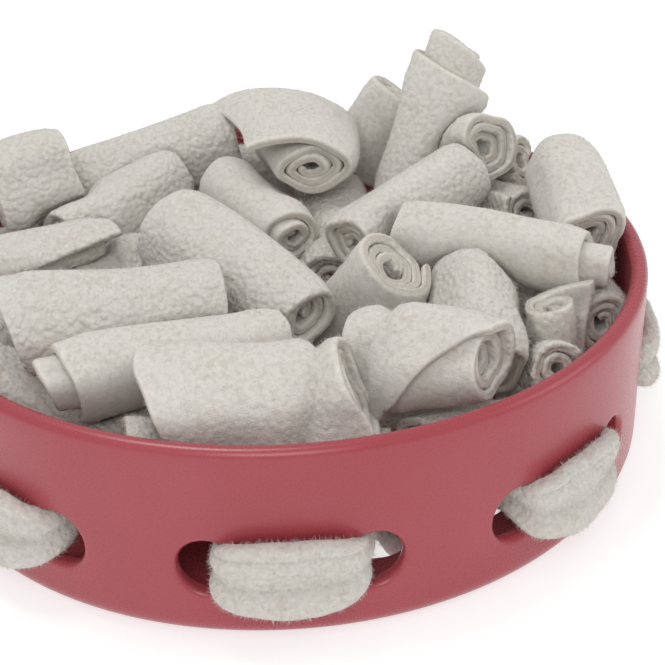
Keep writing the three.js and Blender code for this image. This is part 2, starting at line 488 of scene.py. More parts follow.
def mesh_object(
    name: str,
    points: np.ndarray,
    faces: Sequence[Sequence[int]],
    attributes: Optional[Mapping[str, np.ndarray]] = None,
    uv: Optional[np.ndarray] = None,
) -> bpy.types.Object:
    """Makes a smooth object of a closed shape, its faces pointing out.

    Args:
        name: the piece's name.
        points: the vertices in millimetres.
        faces: each face's vertex numbers, all turned the same way round.
        attributes: values for each vertex, by name.
        uv: a place on the flat cloth for each vertex.

    Returns:
        The object, at the origin.
    """
    metres = np.asarray(points, float) * METRES_PER_MM
    first, second, third = (metres[[face[k] for face in faces]] for k in (0, 1, 2))
    last = metres[[face[-1] for face in faces]]
    volume = (first * np.cross(second, third)).sum() + (first * np.cross(third, last)).sum()
    if volume < 0:
        faces = [tuple(reversed(face)) for face in faces]
    mesh = bpy.data.meshes.new(name)
    mesh.from_pydata(metres.tolist(), [], [tuple(map(int, face)) for face in faces])
    mesh.shade_smooth()
    for key, values in (attributes or {}).items():
        layer = mesh.attributes.new(key, "FLOAT", "POINT")
        layer.data.foreach_set("value", np.asarray(values, np.float32).ravel())
    if uv is not None:
        corner = np.zeros(len(mesh.loops), np.int32)
        mesh.loops.foreach_get("vertex_index", corner)
        layer = mesh.uv_layers.new(name="cloth")
        layer.data.foreach_set("uv", np.asarray(uv, np.float32)[corner].ravel())
    mesh.update()
    return add_object(name, mesh)


@dataclass
class Cloth:
    """A sheet of fleece with its thickness, given by the surface through its middle."""

    name: str
    middle: np.ndarray
    outward: np.ndarray
    half_thickness: np.ndarray
    along: np.ndarray
    across: np.ndarray
    nub: float = 1.0

    # How far from a cut border a column lies, how thick the cloth is there, and its two shades.
    BORDER = (
        (0.0, 0.0, 0.2, 1.0),
        (0.12, 0.46, 0.6, 0.5),
        (0.5, 0.82, 1.0, 0.0),
        (1.1, 0.97, 0.6, 0.0),
        (2.0, 1.0, 0.0, 0.0),
    )

    @classmethod
    def stations(cls, length: float, step: float) -> np.ndarray:
        """Places across or along a sheet, closer together at its two cut borders.

        Args:
            length: the sheet's size in this direction.
            step: the wanted distance between places.

        Returns:
            Places from 0 to length.
        """
        near = np.array([row[0] for row in cls.BORDER])
        count = max(2, int(round((length - 2 * near[-1]) / step)))
        inner = np.linspace(near[-1], length - near[-1], count + 1)
        return np.concatenate([near[:-1], inner, length - near[:-1][::-1]])

    def _border_values(self, column: Profile) -> np.ndarray:
        """One of BORDER's columns on the whole grid, from the nearest cut border.

        Args:
            column: the thickness, the lighter line or the darker core.

        Returns:
            A value for each grid point.
        """
        table = np.array(self.BORDER)
        ends = []
        for places in (self.along, self.across):
            near = np.minimum(places - places[0], places[-1] - places)
            ends.append(np.interp(near, table[:, 0], table[:, column.value]))
        lengthways, crossways = ends[0][:, None], ends[1][None, :]
        if column is Profile.THICKNESS:
            return lengthways * crossways
        return np.maximum(lengthways, crossways)

    def build(self) -> bpy.types.Object:
        """Makes the closed sheet: an upper and a lower grid that share their outermost points.

        Returns:
            The object, with cut and core attributes and the cloth's own UV map.
        """
        rows, columns = self.middle.shape[:2]
        share = self._border_values(Profile.THICKNESS)
        half = (self.half_thickness * share)[..., None] * self.outward
        upper = np.arange(rows * columns).reshape(rows, columns)
        lower = upper.copy()
        lower[1:-1, 1:-1] = rows * columns + np.arange((rows - 2) * (columns - 2)).reshape(
            rows - 2, columns - 2
        )
        inner = (slice(1, -1), slice(1, -1))
        points = np.concatenate(
            [(self.middle + half).reshape(-1, 3), (self.middle - half)[inner].reshape(-1, 3)]
        )
        faces: List[Tuple[int, ...]] = []
        for grid, turned in ((upper, False), (lower, True)):
            corners = np.stack([grid[:-1, :-1], grid[1:, :-1], grid[1:, 1:], grid[:-1, 1:]], -1)
            listed = corners.reshape(-1, 4)
            faces += [tuple(face) for face in (listed[:, ::-1] if turned else listed).tolist()]
        values = {}
        for name, column in (("cut", Profile.CUT), ("core", Profile.CORE)):
            grid = self._border_values(column)
            values[name] = np.concatenate([grid.ravel(), grid[inner].ravel()])
        back = np.full((rows - 2) * (columns - 2), 1 - self.nub)
        values["nub"] = np.concatenate([np.full(rows * columns, self.nub), back])
        flat = np.stack(np.meshgrid(self.along, self.across, indexing="ij"), -1) / STRIP_WIDTH
        uv = np.concatenate([flat.reshape(-1, 2), flat[inner].reshape(-1, 2)])
        return mesh_object(self.name, points, faces, values, uv)


def dress_cloth(
    piece: bpy.types.Object,
    material: bpy.types.Material,
    node: str,
    flat: Tuple[float, float],
) -> None:
    """Gives a sheet its finish and its body, and logs its flat size.

    Args:
        piece: the sheet.
        material: the fleece.
        node: the solid that it stands for.
        flat: its width and length before it was wound or gathered, in millimetres.
    """
    piece.data.materials.append(material)
    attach(piece, BODY)
    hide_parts(node)
    size = tuple(value * METRES_PER_MM for value in flat)
    LOG.info("%s: cut %.0f x %.0f mm, %d faces", piece.name, *flat, len(piece.data.polygons))


@dataclass
class Roll:
    """The rolled end of a strip: a ribbon wound inwards round an axis from one end to the other."""

    number: int
    start: np.ndarray
    end: np.ndarray
    start_radius: float
    end_radius: float
    flat: float
    edge: float
    start_core: float
    end_core: float

    # Its outer edge: the slant in degrees, how far it stands off, and where its two corners are
    # pulled to, fading over so many radians.
    skew: float = 0.0
    lift: float = 0.3
    start_pull: Tuple[float, float, float] = (0.0, 0.0, 0.0)
    end_pull: Tuple[float, float, float] = (0.0, 0.0, 0.0)
    pull_turn: float = 1.6
    # Which way it is wound, and how much of the pebbled side is out.
    hand: float = 1.0
    nub: float = 1.0
    # Its ends: how far the inner turns step out, and how the cut leans sideways and down.
    start_step: float = 0.0
    end_step: float = 0.0
    start_lean: Tuple[float, float] = (0.0, 0.0)
    end_lean: Tuple[float, float] = (0.0, 0.0)
    # Its softness: folds scales the lumps, and a crease has a share of the length, a slant, a depth
    # and a width.
    folds: float = 1.0
    creases: Tuple[Tuple[float, float, float, float], ...] = ()
    rounding: float = 1.1
    bow: float = 1.8
    # Its winding, and the size of its faces.
    thickness: float = 3.05
    pitch: float = 3.25
    heart: float = 2.4
    most_turns: float = 3.1
    step: float = 1.9
    column_step: float = 2.5

    # How far the cloth lies past the radius, how far it is felt by others, and how near they are.
    COVER = 1.5
    TOUCH = 1.2
    NEARBY = 22.0
    # Where a roll is tested against the others: places, angles and shares of its radius.
    PAST_END = 1.0
    TEST_PLACES = 30
    TEST_ANGLES = np.arange(0, 360, 6) * math.pi / 180
    TEST_SHARES = np.linspace(0.36, 1.0, 33)
    OVERLAP = 0.015
    DEEP_ENOUGH = 1.03
    END_SLACK = 1.5
    OUTSIDE = 9.0
    SOFTEN_ROUNDS = 2
    SOFTEN_LIMIT = 0.02
    LOOSE = (0.9, 1.0)
    # What picks each roll's own lumps and bend.
    LUMP_SEED = SEED * 77
    BEND_SEED = SEED * 5
    # Lumps: waves round the roll and their size, then how they twist and swell along it.
    LUMPS = ((1, 0.3), (2, 0.75), (3, 0.6), (4, 0.4), (5, 0.3), (7, 0.14))
    TWIST = 0.12
    SWELL = 0.35
    SWELL_RATE = 0.11
    LEAST_LUMP = 0.15
    LEAST_RADIUS = 0.6
    ROUNDED_LENGTH = 7.0
    EDGE_TURN = 0.5
    BESIDE_CREASE = 0.35
    BESIDE_WIDTH = 2.6
    # The winding's steps: samples, the share of the radius that a step spans, and the least step.
    SAMPLES = 2000
    STEP_SHARE = 0.24
    LEAST_STEP = 0.75
    # The ends: how a sunk core deepens, where a tube begins and a step lies, and the cut's waves.
    SINK_POWER = 0.8
    TUBE = (0.22, 0.5)
    STEP_TURN = (5.2, 6.6)
    CUT_WAVES = (18, 70)
    CUT_WAVE = 0.9
    OTHER_END = 200.0
    PULL_POWER = 1.5
    LEAST_THICKNESS = 0.5

    def __post_init__(self) -> None:
        """Works out the axis and the two directions across it."""
        self.length = float(np.linalg.norm(self.end - self.start))
        self.axis = (self.end - self.start) / self.length
        self.sideways = unit(np.array([-self.axis[1], self.axis[0], 0.0]))
        self.down = -np.cross(self.axis, self.sideways)
        self.squeeze = None

    @property
    def name(self) -> str:
        """The piece's name."""
        return f"fleece_roll_{self.number:02d}"

    @property
    def node(self) -> str:
        """The solid that this roll stands for."""
        return f"roll_{self.number:02d}"

    def radius(self, place: np.ndarray) -> np.ndarray:
        """The roll's radius at a distance from its start."""
        share = np.clip(place / self.length, 0, 1)
        return self.start_radius + (self.end_radius - self.start_radius) * share

    def point(self, place: np.ndarray, angle: np.ndarray, radius: np.ndarray) -> np.ndarray:
        """A point given in the roll's own terms.

        Args:
            place: distance along the axis.
            angle: angle round it, in radians.
            radius: distance from it before the roll is flattened.

        Returns:
            The point in the bowl's frame.
        """
        wide = math.sqrt(self.flat)
        out = (radius * np.cos(angle) / wide)[..., None] * self.sideways
        fall = (radius * np.sin(angle) * wide)[..., None] * self.down
        return self.start + np.asarray(place)[..., None] * self.axis + out + fall

    def depth_of(self, points: np.ndarray) -> np.ndarray:
        """How far out points lie in this roll.

        Args:
            points: points in the bowl's frame.

        Returns:
            0 on the axis, 1 on the roll's surface, and large past its ends.
        """
        offset = points - self.start
        place = offset @ self.axis
        wide = math.sqrt(self.flat)
        across = offset @ self.sideways * wide
        along_down = offset @ self.down / wide
        share = np.hypot(across, along_down) / (self.radius(place) + self.TOUCH)
        beyond = np.maximum(-place, place - self.length)
        return np.where(beyond > self.END_SLACK, self.OUTSIDE, share)

    def _is_near(self, other: "Roll") -> bool:
        """Whether another roll may be touched."""
        gap = np.linalg.norm((other.start + other.end) / 2 - (self.start + self.end) / 2)
        return gap <= (self.length + other.length) / 2 + 2 * self.NEARBY

    def _softened(self, reached: np.ndarray) -> np.ndarray:
        """Evens out the limits between neighbouring samples.

        Args:
            reached: the share that is kept at each place and angle.

        Returns:
            The shares without sharp dents.
        """
        for _ in range(self.SOFTEN_ROUNDS):
            padded = np.pad(reached, ((1, 1), (0, 0)), mode="edge")
            soft = (padded[:-2] + 2 * padded[1:-1] + padded[2:]) / 4
            soft = (np.roll(soft, 1, 1) + 2 * soft + np.roll(soft, -1, 1)) / 4
            reached = np.minimum(soft, reached + self.SOFTEN_LIMIT)
        return reached

    def press(self, others: Sequence["Roll"]) -> None:
        """Finds how far the roll reaches in each direction before it meets a neighbour or the bowl.

        Args:
            others: the other rolls.
        """
        shares = self.TEST_SHARES
        places = np.linspace(-self.PAST_END, self.length + self.PAST_END, self.TEST_PLACES)
        place, angle, share = np.meshgrid(places, self.TEST_ANGLES, shares, indexing="ij")
        points = self.point(place, angle, share * (self.radius(place) + self.TOUCH))
        free = Bowl.is_clear(points)
        for other in others:
            if other is not self and self._is_near(other):
                limit = np.minimum(share + self.OVERLAP, self.DEEP_ENOUGH)
                free &= other.depth_of(points) >= limit
        blocked = ~free
        first = np.where(blocked.any(-1), blocked.argmax(-1), len(shares))
        reached = np.where(first < len(shares), shares[np.maximum(first - 1, 0)], 1.0)
        self.squeeze = (places, self.TEST_ANGLES, self._softened(reached))

    def _squeezed(self, place: np.ndarray, angle: np.ndarray) -> np.ndarray:
        """Reads the squeeze between its samples.

        Args:
            place: distances along the axis.
            angle: angles in radians.

        Returns:
            The share of its free radius that the roll keeps there.
        """
        places, angles, reached = self.squeeze
        row = np.clip((place - places[0]) / (places[1] - places[0]), 0, len(places) - 1.001)
        column = (angle / (angles[1] - angles[0])) % len(angles)
        r0, c0 = row.astype(int), column.astype(int) % len(angles)
        c1 = (c0 + 1) % len(angles)
        a, b = row - r0, column - np.floor(column)
        low = reached[r0, c0] * (1 - b) + reached[r0, c1] * b
        high = reached[r0 + 1, c0] * (1 - b) + reached[r0 + 1, c1] * b
        return low * (1 - a) + high * a

    def _lumps(self, place: np.ndarray, angle: np.ndarray) -> np.ndarray:
        """Unevenness that all turns of the roll share, so that they stay apart.

        Args:
            place: distances along the axis.
            angle: angles in radians.

        Returns:
            How far out the cloth lies at each point, in millimetres.
        """
        random = np.random.default_rng(self.LUMP_SEED + self.number)
        lump = np.zeros(np.broadcast(place, angle).shape)
        for waves, size in self.LUMPS:
            phase, turn, beat = random.uniform(0, math.tau, 3)
            twist = (turn / math.tau - 0.5) * self.TWIST
            swell = 1 - self.SWELL + self.SWELL * np.sin(place * self.SWELL_RATE + beat)
            lump = lump + size * swell * np.sin(waves * angle + phase + twist * place)
        return lump * self.folds

    def _winding(self) -> Tuple[np.ndarray, np.ndarray]:
        """The ribbon's stations.

        Returns:
            Distances along the flat strip from its outer edge, and the angle wound at each.
        """
        outermost = self.COVER - self.thickness / 2
        mean = (self.start_radius + self.end_radius) / 2 + outermost
        smallest = min(self.start_radius, self.end_radius) + outermost
        turns = min(self.most_turns, (smallest - self.heart) / self.pitch)
        fine = np.linspace(0, turns * math.tau, self.SAMPLES)
        radius = mean - self.pitch * fine / math.tau
        distance = np.concatenate([[0], np.cumsum((radius[1:] + radius[:-1]) / 2 * np.diff(fine))])
        near = np.array([row[0] for row in Cloth.BORDER])
        step = np.clip(radius * self.STEP_SHARE, min(self.LEAST_STEP, self.step), self.step)
        count = np.concatenate([[0], np.cumsum(2 / (step[1:] + step[:-1]) * np.diff(distance))])
        low, high = np.interp([near[-1], distance[-1] - near[-1]], distance, count)
        inner = np.interp(np.linspace(low, high, int(high - low) + 2), count, distance)
        stations = np.concatenate([near[:-1], inner, distance[-1] - near[:-1][::-1]])
        return stations, np.interp(stations, distance, fine)

    def _places(
        self,
        along: np.ndarray,
        wound: np.ndarray,
        share: np.ndarray,
        angle: np.ndarray,
        radius: np.ndarray,
    ) -> np.ndarray:
        """How far along the axis each point lies, from one cut end of its turn to the other.

        Args:
            along: distances along the flat strip.
            wound: the angle wound at each.
            share: shares of the strip's width.
            angle: each point's angle.
            radius: each point's distance from the axis.

        Returns:
            Each point's distance from the start.
        """
        border = Ripples(self.number, *self.CUT_WAVES)
        inwards = wound / wound[-1]
        limits = []
        for column, core, step, lean, wavy in (
            (0, self.start_core, self.start_step, self.start_lean, border.at(along, 0.0)),
            (-1, self.end_core, self.end_step, self.end_lean, border.at(along, self.OTHER_END)),
        ):
            shape = inwards**self.SINK_POWER if core < 0 else smoothstep(*self.TUBE, inwards)
            stands = core * shape + step * smoothstep(*self.STEP_TURN, wound)
            wide = radius[:, column] / (self.radius(np.array(0.0)) + self.COVER)
            turn = angle[:, column]
            slanted = wide * (lean[0] * np.cos(turn) + lean[1] * np.sin(turn))
            limits.append(stands + slanted + self.CUT_WAVE * wavy)
        starts, ends = -limits[0], self.length + limits[1]
        return starts[:, None] + (ends - starts)[:, None] * share[None, :]

    def _bulges(
        self, place: np.ndarray, angle: np.ndarray, wound: np.ndarray, radius: np.ndarray
    ) -> np.ndarray:
        """How far out the cloth lies: its lumps, loose edge, rounded ends and creases.

        Args:
            place: distances along the axis.
            angle: angles in radians.
            wound: the angle wound at each station.
            radius: distances from the axis.

        Returns:
            Millimetres outwards at each point.
        """
        to_end = np.minimum(place, self.length - place)
        rounding = self.rounding * (1 - smoothstep(0.0, self.ROUNDED_LENGTH, to_end))
        lump = self._lumps(place, angle) * np.clip(radius / self.start_radius, self.LEAST_LUMP, 1.0)
        edge = self.lift * (1 - smoothstep(0.0, self.EDGE_TURN, wound))
        lump = lump + edge[:, None] - rounding
        for at, slant, depth, width in self.creases:
            line = (place - self.length * at - slant * np.sin(angle)) / width
            beside = self.BESIDE_CREASE * np.exp(-((line / self.BESIDE_WIDTH) ** 2))
            lump = lump + depth * (beside - np.exp(-(line**2)))
        return lump

    def _bend(self, place: np.ndarray, loose: np.ndarray) -> np.ndarray:
        """How far the whole roll is bent to one side.

        Args:
            place: distances along the axis.
            loose: 1 where the roll is free and 0 where it is pressed.

        Returns:
            An offset for each point.
        """
        bow = self.bow * np.sin(math.pi * np.clip(place / self.length, 0, 1)) * loose
        sway = np.random.default_rng(self.BEND_SEED + self.number).uniform(-1, 1, 2)
        return bow[..., None] * (sway[0] * self.down + sway[1] * self.sideways)

    def _corners(self, share: np.ndarray, wound: np.ndarray) -> np.ndarray:
        """How far the outer edge's two corners are pulled away.

        Args:
            share: shares of the strip's width.
            wound: the angle wound at each station.

        Returns:
            An offset for each point.
        """
        near = 1 - smoothstep(0.0, self.pull_turn, wound)
        corner = (1 - share)[:, None] ** self.PULL_POWER * np.array(self.start_pull)
        corner = corner + share[:, None] ** self.PULL_POWER * np.array(self.end_pull)
        return near[:, None, None] * corner[None, :, :]

    def build(self) -> Tuple[bpy.types.Object, float]:
        """Makes the wound ribbon.

        Returns:
            The sheet and its unwound length in millimetres.
        """
        along, wound = self._winding()
        across = Cloth.stations(self.length, self.column_step)
        share = across / across[-1]
        slant = math.radians(self.skew) * (share - 0.5)
        angle = math.radians(self.edge) + self.hand * wound[:, None] + slant[None, :]
        radius = self.radius(share * self.length)[None, :] + self.COVER - self.thickness / 2
        radius = radius - self.pitch * wound[:, None] / math.tau
        place = self._places(along, wound, share, angle, radius)
        reach = self._squeezed(place, angle)
        loose = smoothstep(*self.LOOSE, reach)
        bulged = radius + loose * self._bulges(place, angle, wound, radius)
        radius = np.maximum(bulged, self.LEAST_RADIUS * radius)
        middle = self.point(place, angle, radius * reach)
        middle = middle + self._bend(place, loose) + self._corners(share, wound)
        tangent = np.gradient(middle, along, axis=0)
        column = np.gradient(middle, across, axis=1)
        outward = unit(np.cross(tangent, column))
        axis_point = self.start + place[..., None] * self.axis
        if ((middle - axis_point) * outward).sum() < 0:
            outward = -outward
        half = self.thickness / 2 * np.clip(reach, self.LEAST_THICKNESS, 1.0)
        sheet = Cloth(self.name, middle, outward, half, along, across, self.nub)
        return sheet.build(), float(along[-1])

    def dress(self, material: bpy.types.Material) -> bpy.types.Object:
        """Builds the roll and gives it its finish.

        Args:
            material: the fleece.

        Returns:
            The finished piece.
        """
        piece, unwound = self.build()
        dress_cloth(piece, material, self.node, (self.length, unwound))
        return piece


@dataclass
class Heap:
    """All the rolled ends that lie in the bowl.

    Rolls 15, 19 and 34 reach a little farther than their solids, which closes the heap at the back.
    """

    # Start x, y, z, end x, y, z, radius at start and end, flatness, outer edge's angle, and how
    # far the core stands out or in at start and end.
    ROWS = (
        (41, 52, 52, 59, 66, 94, 13, 15, 0.9, 40, -3, 10),
        (7, 80, 68, 10, 32, 74, 17.5, 12, 0.64, 210, -3, -2),
        (-97, 37, 66, -70, 48, 70, 15, 15.5, 1, 80, -3, -3),
        (20, -3, 62, 63, 40, 69, 12, 12, 1, 60, -3, -4),
        (35, -3, 68, 93, -22, 64, 10.5, 10.5, 1, 30, -3, 8),
        (-36, 15, 64, 8, -39, 56, 14, 12, 1, 80, -3, -5),
        (-78, -48, 65, -18, -37, 63, 14.5, 13.5, 1, 80, -3, -3),
        (-33, -84, 58, 22, -84, 58, 17, 16.5, 1, 70, -4, -4),
        (21, -64, 54, 59, -78, 63, 17.5, 11, 0.95, 190, -4, -5),
        (-60, -73, 61, 0, -50, 57, 11, 10, 1, 100, 6, -3),
        (95, 40, 68, 98, -5, 62, 14, 13, 1, 90, -3, -3),
        (57, 58, 68, 72, 42, 75, 12, 13.5, 1, 150, -3, -4),
        (14, -8, 34, 34, -26, 69, 13, 13, 1, 30, -3, -4),
        (-20, 57, 60, 3, 16, 57, 12, 11.5, 1, 30, -3, -5),
        (-73, 60, 57, -18, 80, 68, 12.5, 13, 1, 90, -3, -3),
        (-101, 2, 58, -58, 17, 60, 9.5, 9, 0.8, 200, -3, -3),
        (58, -14, 58, 61, -58, 46, 13.5, 13.5, 1, 90, -3, -3),
        (-74, 26, 54, -37, 60, 62, 11.5, 11.5, 1, 70, -3, -3),
        (25, 88, 50, 44, 90, 78, 13, 13, 1, 90, -3, -3),
        (84, -44, 24, 80, -38, 60, 9.5, 9.5, 1, 180, -3, -3),
        (-46, -86, 46, 12, -86, 34, 10, 10, 1, 160, -3, -3),
        (-78, 14, 48, -42, 18, 48, 11.5, 11, 1, 70, -3, -3),
        (98, -32, 46, 94, 30, 38, 10.5, 11, 1, 130, -3, -3),
        (79, -62, 50, 70, -30, 28, 8, 9, 1, 200, -3, -3),
        (-94, -32, 50, -84, 22, 36, 12, 12, 1, 10, -3, -3),
        (-94, -38, 44, -50, -60, 34, 12, 12, 1, 80, -3, -3),
        (-62, -74, 30, -6, -44, 30, 13, 13, 1, 140, -3, -3),
        (34, -80, 36, 76, -58, 26, 11, 10, 1, 220, -3, -3),
        (84, 32, 54, 60, 74, 44, 11, 11, 1, 310, -3, -3),
        (86, 60, 63, 54, 86, 46, 9.5, 10, 1, 20, -3, -3),
        (18, 64, 48, 16, 8, 42, 13, 13, 1, 190, -3, -3),
        (-30, 62, 42, -8, 8, 26, 12, 13, 1, 240, -3, -3),
        (-88, 46, 46, -56, 82, 46, 11, 11, 1, 170, -3, -3),
        (-44, 90, 49, 14, 94, 47, 11, 11, 1, 60, -3, -3),
        (60, 30, 38, 86, -6, 42, 13, 12, 1, 110, -3, -3),
        (-70, -12, 38, -18, -12, 36, 15, 14, 1, 350, -3, -3),
        (-2, -50, 36, 50, -36, 32, 13, 13, 1, 150, -3, -3),
        (-82, 44, 26, -34, 40, 24, 12, 12, 1, 260, -3, -3),
    )
    # What sets single rolls apart, by number: the pebbled side out or in, the slant of the
    # edge, how the ends are cut, and where the edge's corners are pulled to.
    TRAITS = {
        1: {
            "nub": 0.5,
            "lift": 1.2,
            "end_lean": (1.5, -3.0),
            "end_pull": (3.0, 1.0, 4.0),
            "pull_turn": 1.0,
        },
        2: {
            "nub": 0.3,
            "start_pull": (-13.0, 4.0, 2.0),
            "end_pull": (-9.0, -1.0, 3.5),
            "pull_turn": 2.4,
        },
        3: {"nub": 0.9, "folds": 1.5},
        4: {"nub": 0.8},
        5: {"nub": 0.2, "skew": 30.0, "end_lean": (0.0, 1.5), "end_pull": (3.0, -4.0, -3.0)},
        6: {"nub": 0.9},
        7: {"nub": 1.0, "skew": 20.0, "start_lean": (0.0, -6.0)},
        8: {
            "nub": 0.45,
            "folds": 2.0,
            "start_lean": (0.0, -9.0),
            "end_lean": (0.0, 8.0),
            "creases": ((0.7, -4.0, 4.0, 3.0),),
        },
        9: {
            "nub": 0.15,
            "folds": 2.0,
            "skew": 150.0,
            "end_lean": (6.0, -1.0),
            "creases": ((0.24, -1.5, 3.5, 3.0),),
        },
        10: {"nub": 0.15, "start_lean": (0.0, -4.0)},
        11: {"nub": 0.15, "folds": 1.6},
        12: {"nub": 0.2, "end_lean": (1.5, 0.0)},
        13: {"nub": 0.2},
        14: {"nub": 0.1, "end_step": 5.0, "end_lean": (1.5, -1.5)},
        15: {"nub": 0.9},
        16: {"nub": 1.0, "skew": 70.0, "end_pull": (7.0, -4.0, -1.0), "pull_turn": 2.2, "folds": 2.2},
        17: {"nub": 1.0, "folds": 1.5},
        18: {"nub": 0.9, "end_step": 3.0},
        19: {"nub": 0.15},
        20: {"nub": 0.6, "hand": -1.0, "end_pull": (5.0, -2.0, 3.0), "lift": 1.5},
        21: {"nub": 0.8},
        22: {"nub": 1.0, "folds": 1.5},
    }
    first_buried: int = 27
    buried_step: float = 3.2

    def rolls(self) -> List[Roll]:
        """The rolls, pressed against each other.

        Returns:
            One roll for each row.
        """
        made = []
        for number, row in enumerate(self.ROWS, 1):
            ax, ay, az, bx, by, bz, *rest = (float(value) for value in row)
            traits = self.TRAITS.get(number, {})
            roll = Roll(number, np.array([ax, ay, az]), np.array([bx, by, bz]), *rest, **traits)
            if number >= self.first_buried:
                roll.step = roll.column_step = self.buried_step
            made.append(roll)
        for roll in made:
            roll.press(made)
        return made

    def dress(self, material: bpy.types.Material) -> List[bpy.types.Object]:
        """Builds and finishes all the rolls.

        Args:
            material: the fleece.

        Returns:
            The pieces.
        """
        return [roll.dress(material) for roll in self.rolls()]


@dataclass
class Fuzz:
    """Loose fibres on the cloth: thin cones scattered by a Geometry Nodes tree."""

    name: str
    per_square_metre: float = 1.6e6
    seed: int = SEED
    length: float = 0.0014
    thickness: float = 0.00006
    sides: int = 3
    lean: float = 0.95
    most: int = 34000
    view_count: int = 8
    view_rise: float = 0.45
    least_facing: float = 0.05
    view_length: float = 0.3
    clearance: float = 0.0006
    least_scale: float = 0.5
    most_scale: float = 1.2

    def _group(self, material: bpy.types.Material) -> bpy.types.GeometryNodeTree:
        """Makes the tree that scatters the fibres.

        Args:
            material: the fleece.

        Returns:
            The group, with Density, Length, Thickness and Seed as named inputs.
        """
        group = bpy.data.node_groups.new(self.name, "GeometryNodeTree")
        panel = group.interface
        panel.new_socket("Geometry", in_out="INPUT", socket_type="NodeSocketGeometry")
        for name in ("Density", "Length", "Thickness"):
            panel.new_socket(name, in_out="INPUT", socket_type="NodeSocketFloat")
        panel.new_socket("Seed", in_out="INPUT", socket_type="NodeSocketInt")
        panel.new_socket("Geometry", in_out="OUTPUT", socket_type="NodeSocketGeometry")
        tree = NodeTree(group)
        given = tree.make("NodeGroupInput", output="Geometry")
        places = tree.make(
            "GeometryNodeDistributePointsOnFaces",
            {"distribute_method": "RANDOM"},
            {"Mesh": given, "Density": given.output("Density"), "Seed": given.output("Seed")},
            output="Points",
        )
        cone = tree.make(
            "GeometryNodeMeshCone",
            {"fill_type": "NGON"},
            {
                "Vertices": self.sides,
                "Radius Top": 0.0,
                "Radius Bottom": given.output("Thickness"),
                "Depth": given.output("Length"),
            },
            output="Mesh",
        )
        turn = tree.make(
            "FunctionNodeRandomValue",
            {"data_type": "FLOAT_VECTOR"},
            {
                "Min": (-self.lean, -self.lean, 0.0),
                "Max": (self.lean, self.lean, math.tau),
                "Seed": given.output("Seed"),
            },
        )
        tilt = tree.make("FunctionNodeEulerToRotation", None, {"Euler": turn})
        rotation = tree.make(
            "FunctionNodeRotateRotation",
            {"rotation_space": "LOCAL"},
            {"Rotation": places.output("Rotation"), "Rotate By": tilt},
        )
        size = tree.make(
            "FunctionNodeRandomValue",
            {"data_type": "FLOAT"},
            {2: self.least_scale, 3: self.most_scale, "Seed": given.output("Seed")},
            output=1,
        )
        fibres = tree.make(
            "GeometryNodeInstanceOnPoints",
            None,
            {"Points": places, "Instance": cone, "Rotation": rotation, "Scale": size},
        )
        real = tree.make("GeometryNodeRealizeInstances", None, {"Geometry": fibres})
        dressed = tree.make("GeometryNodeSetMaterial", None, {"Geometry": real, "Material": material})
        tree.make("NodeGroupOutput", None, {"Geometry": dressed})
        return group

    def _ground(
        self, pieces: Sequence[bpy.types.Object], blockers: Sequence[bpy.types.Object]
    ) -> bpy.types.Object:
        """Copies the faces that can be seen from above or from a side into one mesh.

        Args:
            pieces: the sheets that fibres grow on.
            blockers: everything that can hide them.

        Returns:
            A temporary object with those faces.
        """
        corners: List[Tuple[float, ...]] = []
        polygons: List[Tuple[int, ...]] = []
        for piece in blockers:
            first = len(corners)
            corners += [tuple(vertex.co) for vertex in piece.data.vertices]
            polygons += [tuple(first + k for k in face.vertices) for face in piece.data.polygons]
        shapes = BVHTree.FromPolygons(corners, polygons)
        views = [Vector((0.0, 0.0, 1.0))]
        for index in range(self.view_count):
            turn = index * math.tau / self.view_count
            views.append(Vector((math.sin(turn), -math.cos(turn), self.view_rise)).normalized())
        points: List[Tuple[float, ...]] = []
        kept: List[Tuple[int, ...]] = []
        for piece in pieces:
            vertices = piece.data.vertices
            for face in piece.data.polygons:
                start = face.center + face.normal * self.clearance
                facing = (view for view in views if view.dot(face.normal) > self.least_facing)
                hits = (shapes.ray_cast(start, view, self.view_length)[0] for view in facing)
                if any(hit is None for hit in hits):
                    kept.append(tuple(range(len(points), len(points) + len(face.vertices))))
                    points += [tuple(vertices[k].co) for k in face.vertices]
        mesh = bpy.data.meshes.new(self.name + "_ground")
        mesh.from_pydata(points, [], kept)
        return add_object(mesh.name, mesh)

    def dress(
        self,
        pieces: Sequence[bpy.types.Object],
        blockers: Sequence[bpy.types.Object],
        material: bpy.types.Material,
    ) -> bpy.types.Object:
        """Scatters the fibres and turns them into a plain mesh.

        Args:
            pieces: the sheets that fibres grow on.
            blockers: everything that can hide them.
            material: the fleece.

        Returns:
            The fibres, as one piece.
        """
        ground = self._ground(pieces, blockers)
        group = self._group(material)
        area = sum(face.area for face in ground.data.polygons)
        values = {
            "Density": min(self.per_square_metre, self.most / area),
            "Length": self.length,
            "Thickness": self.thickness,
            "Seed": self.seed,
        }
        modifier = ground.modifiers.new("fuzz", "NODES")
        modifier.node_group = group
        for item in group.interface.items_tree:
            if item.in_out == "INPUT" and item.name in values:
                modifier[item.identifier] = values[item.name]
        evaluated = ground.evaluated_get(bpy.context.evaluated_depsgraph_get())
        mesh = bpy.data.meshes.new_from_object(evaluated)
        mesh.name = self.name
        bpy.data.objects.remove(ground)
        piece = add_object(self.name, mesh)
        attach(piece, BODY)
        covered = area / METRES_PER_MM**2
        LOG.info("%s: %.0f mm2 of cloth, %d faces", self.name, covered, len(mesh.polygons))
        return piece


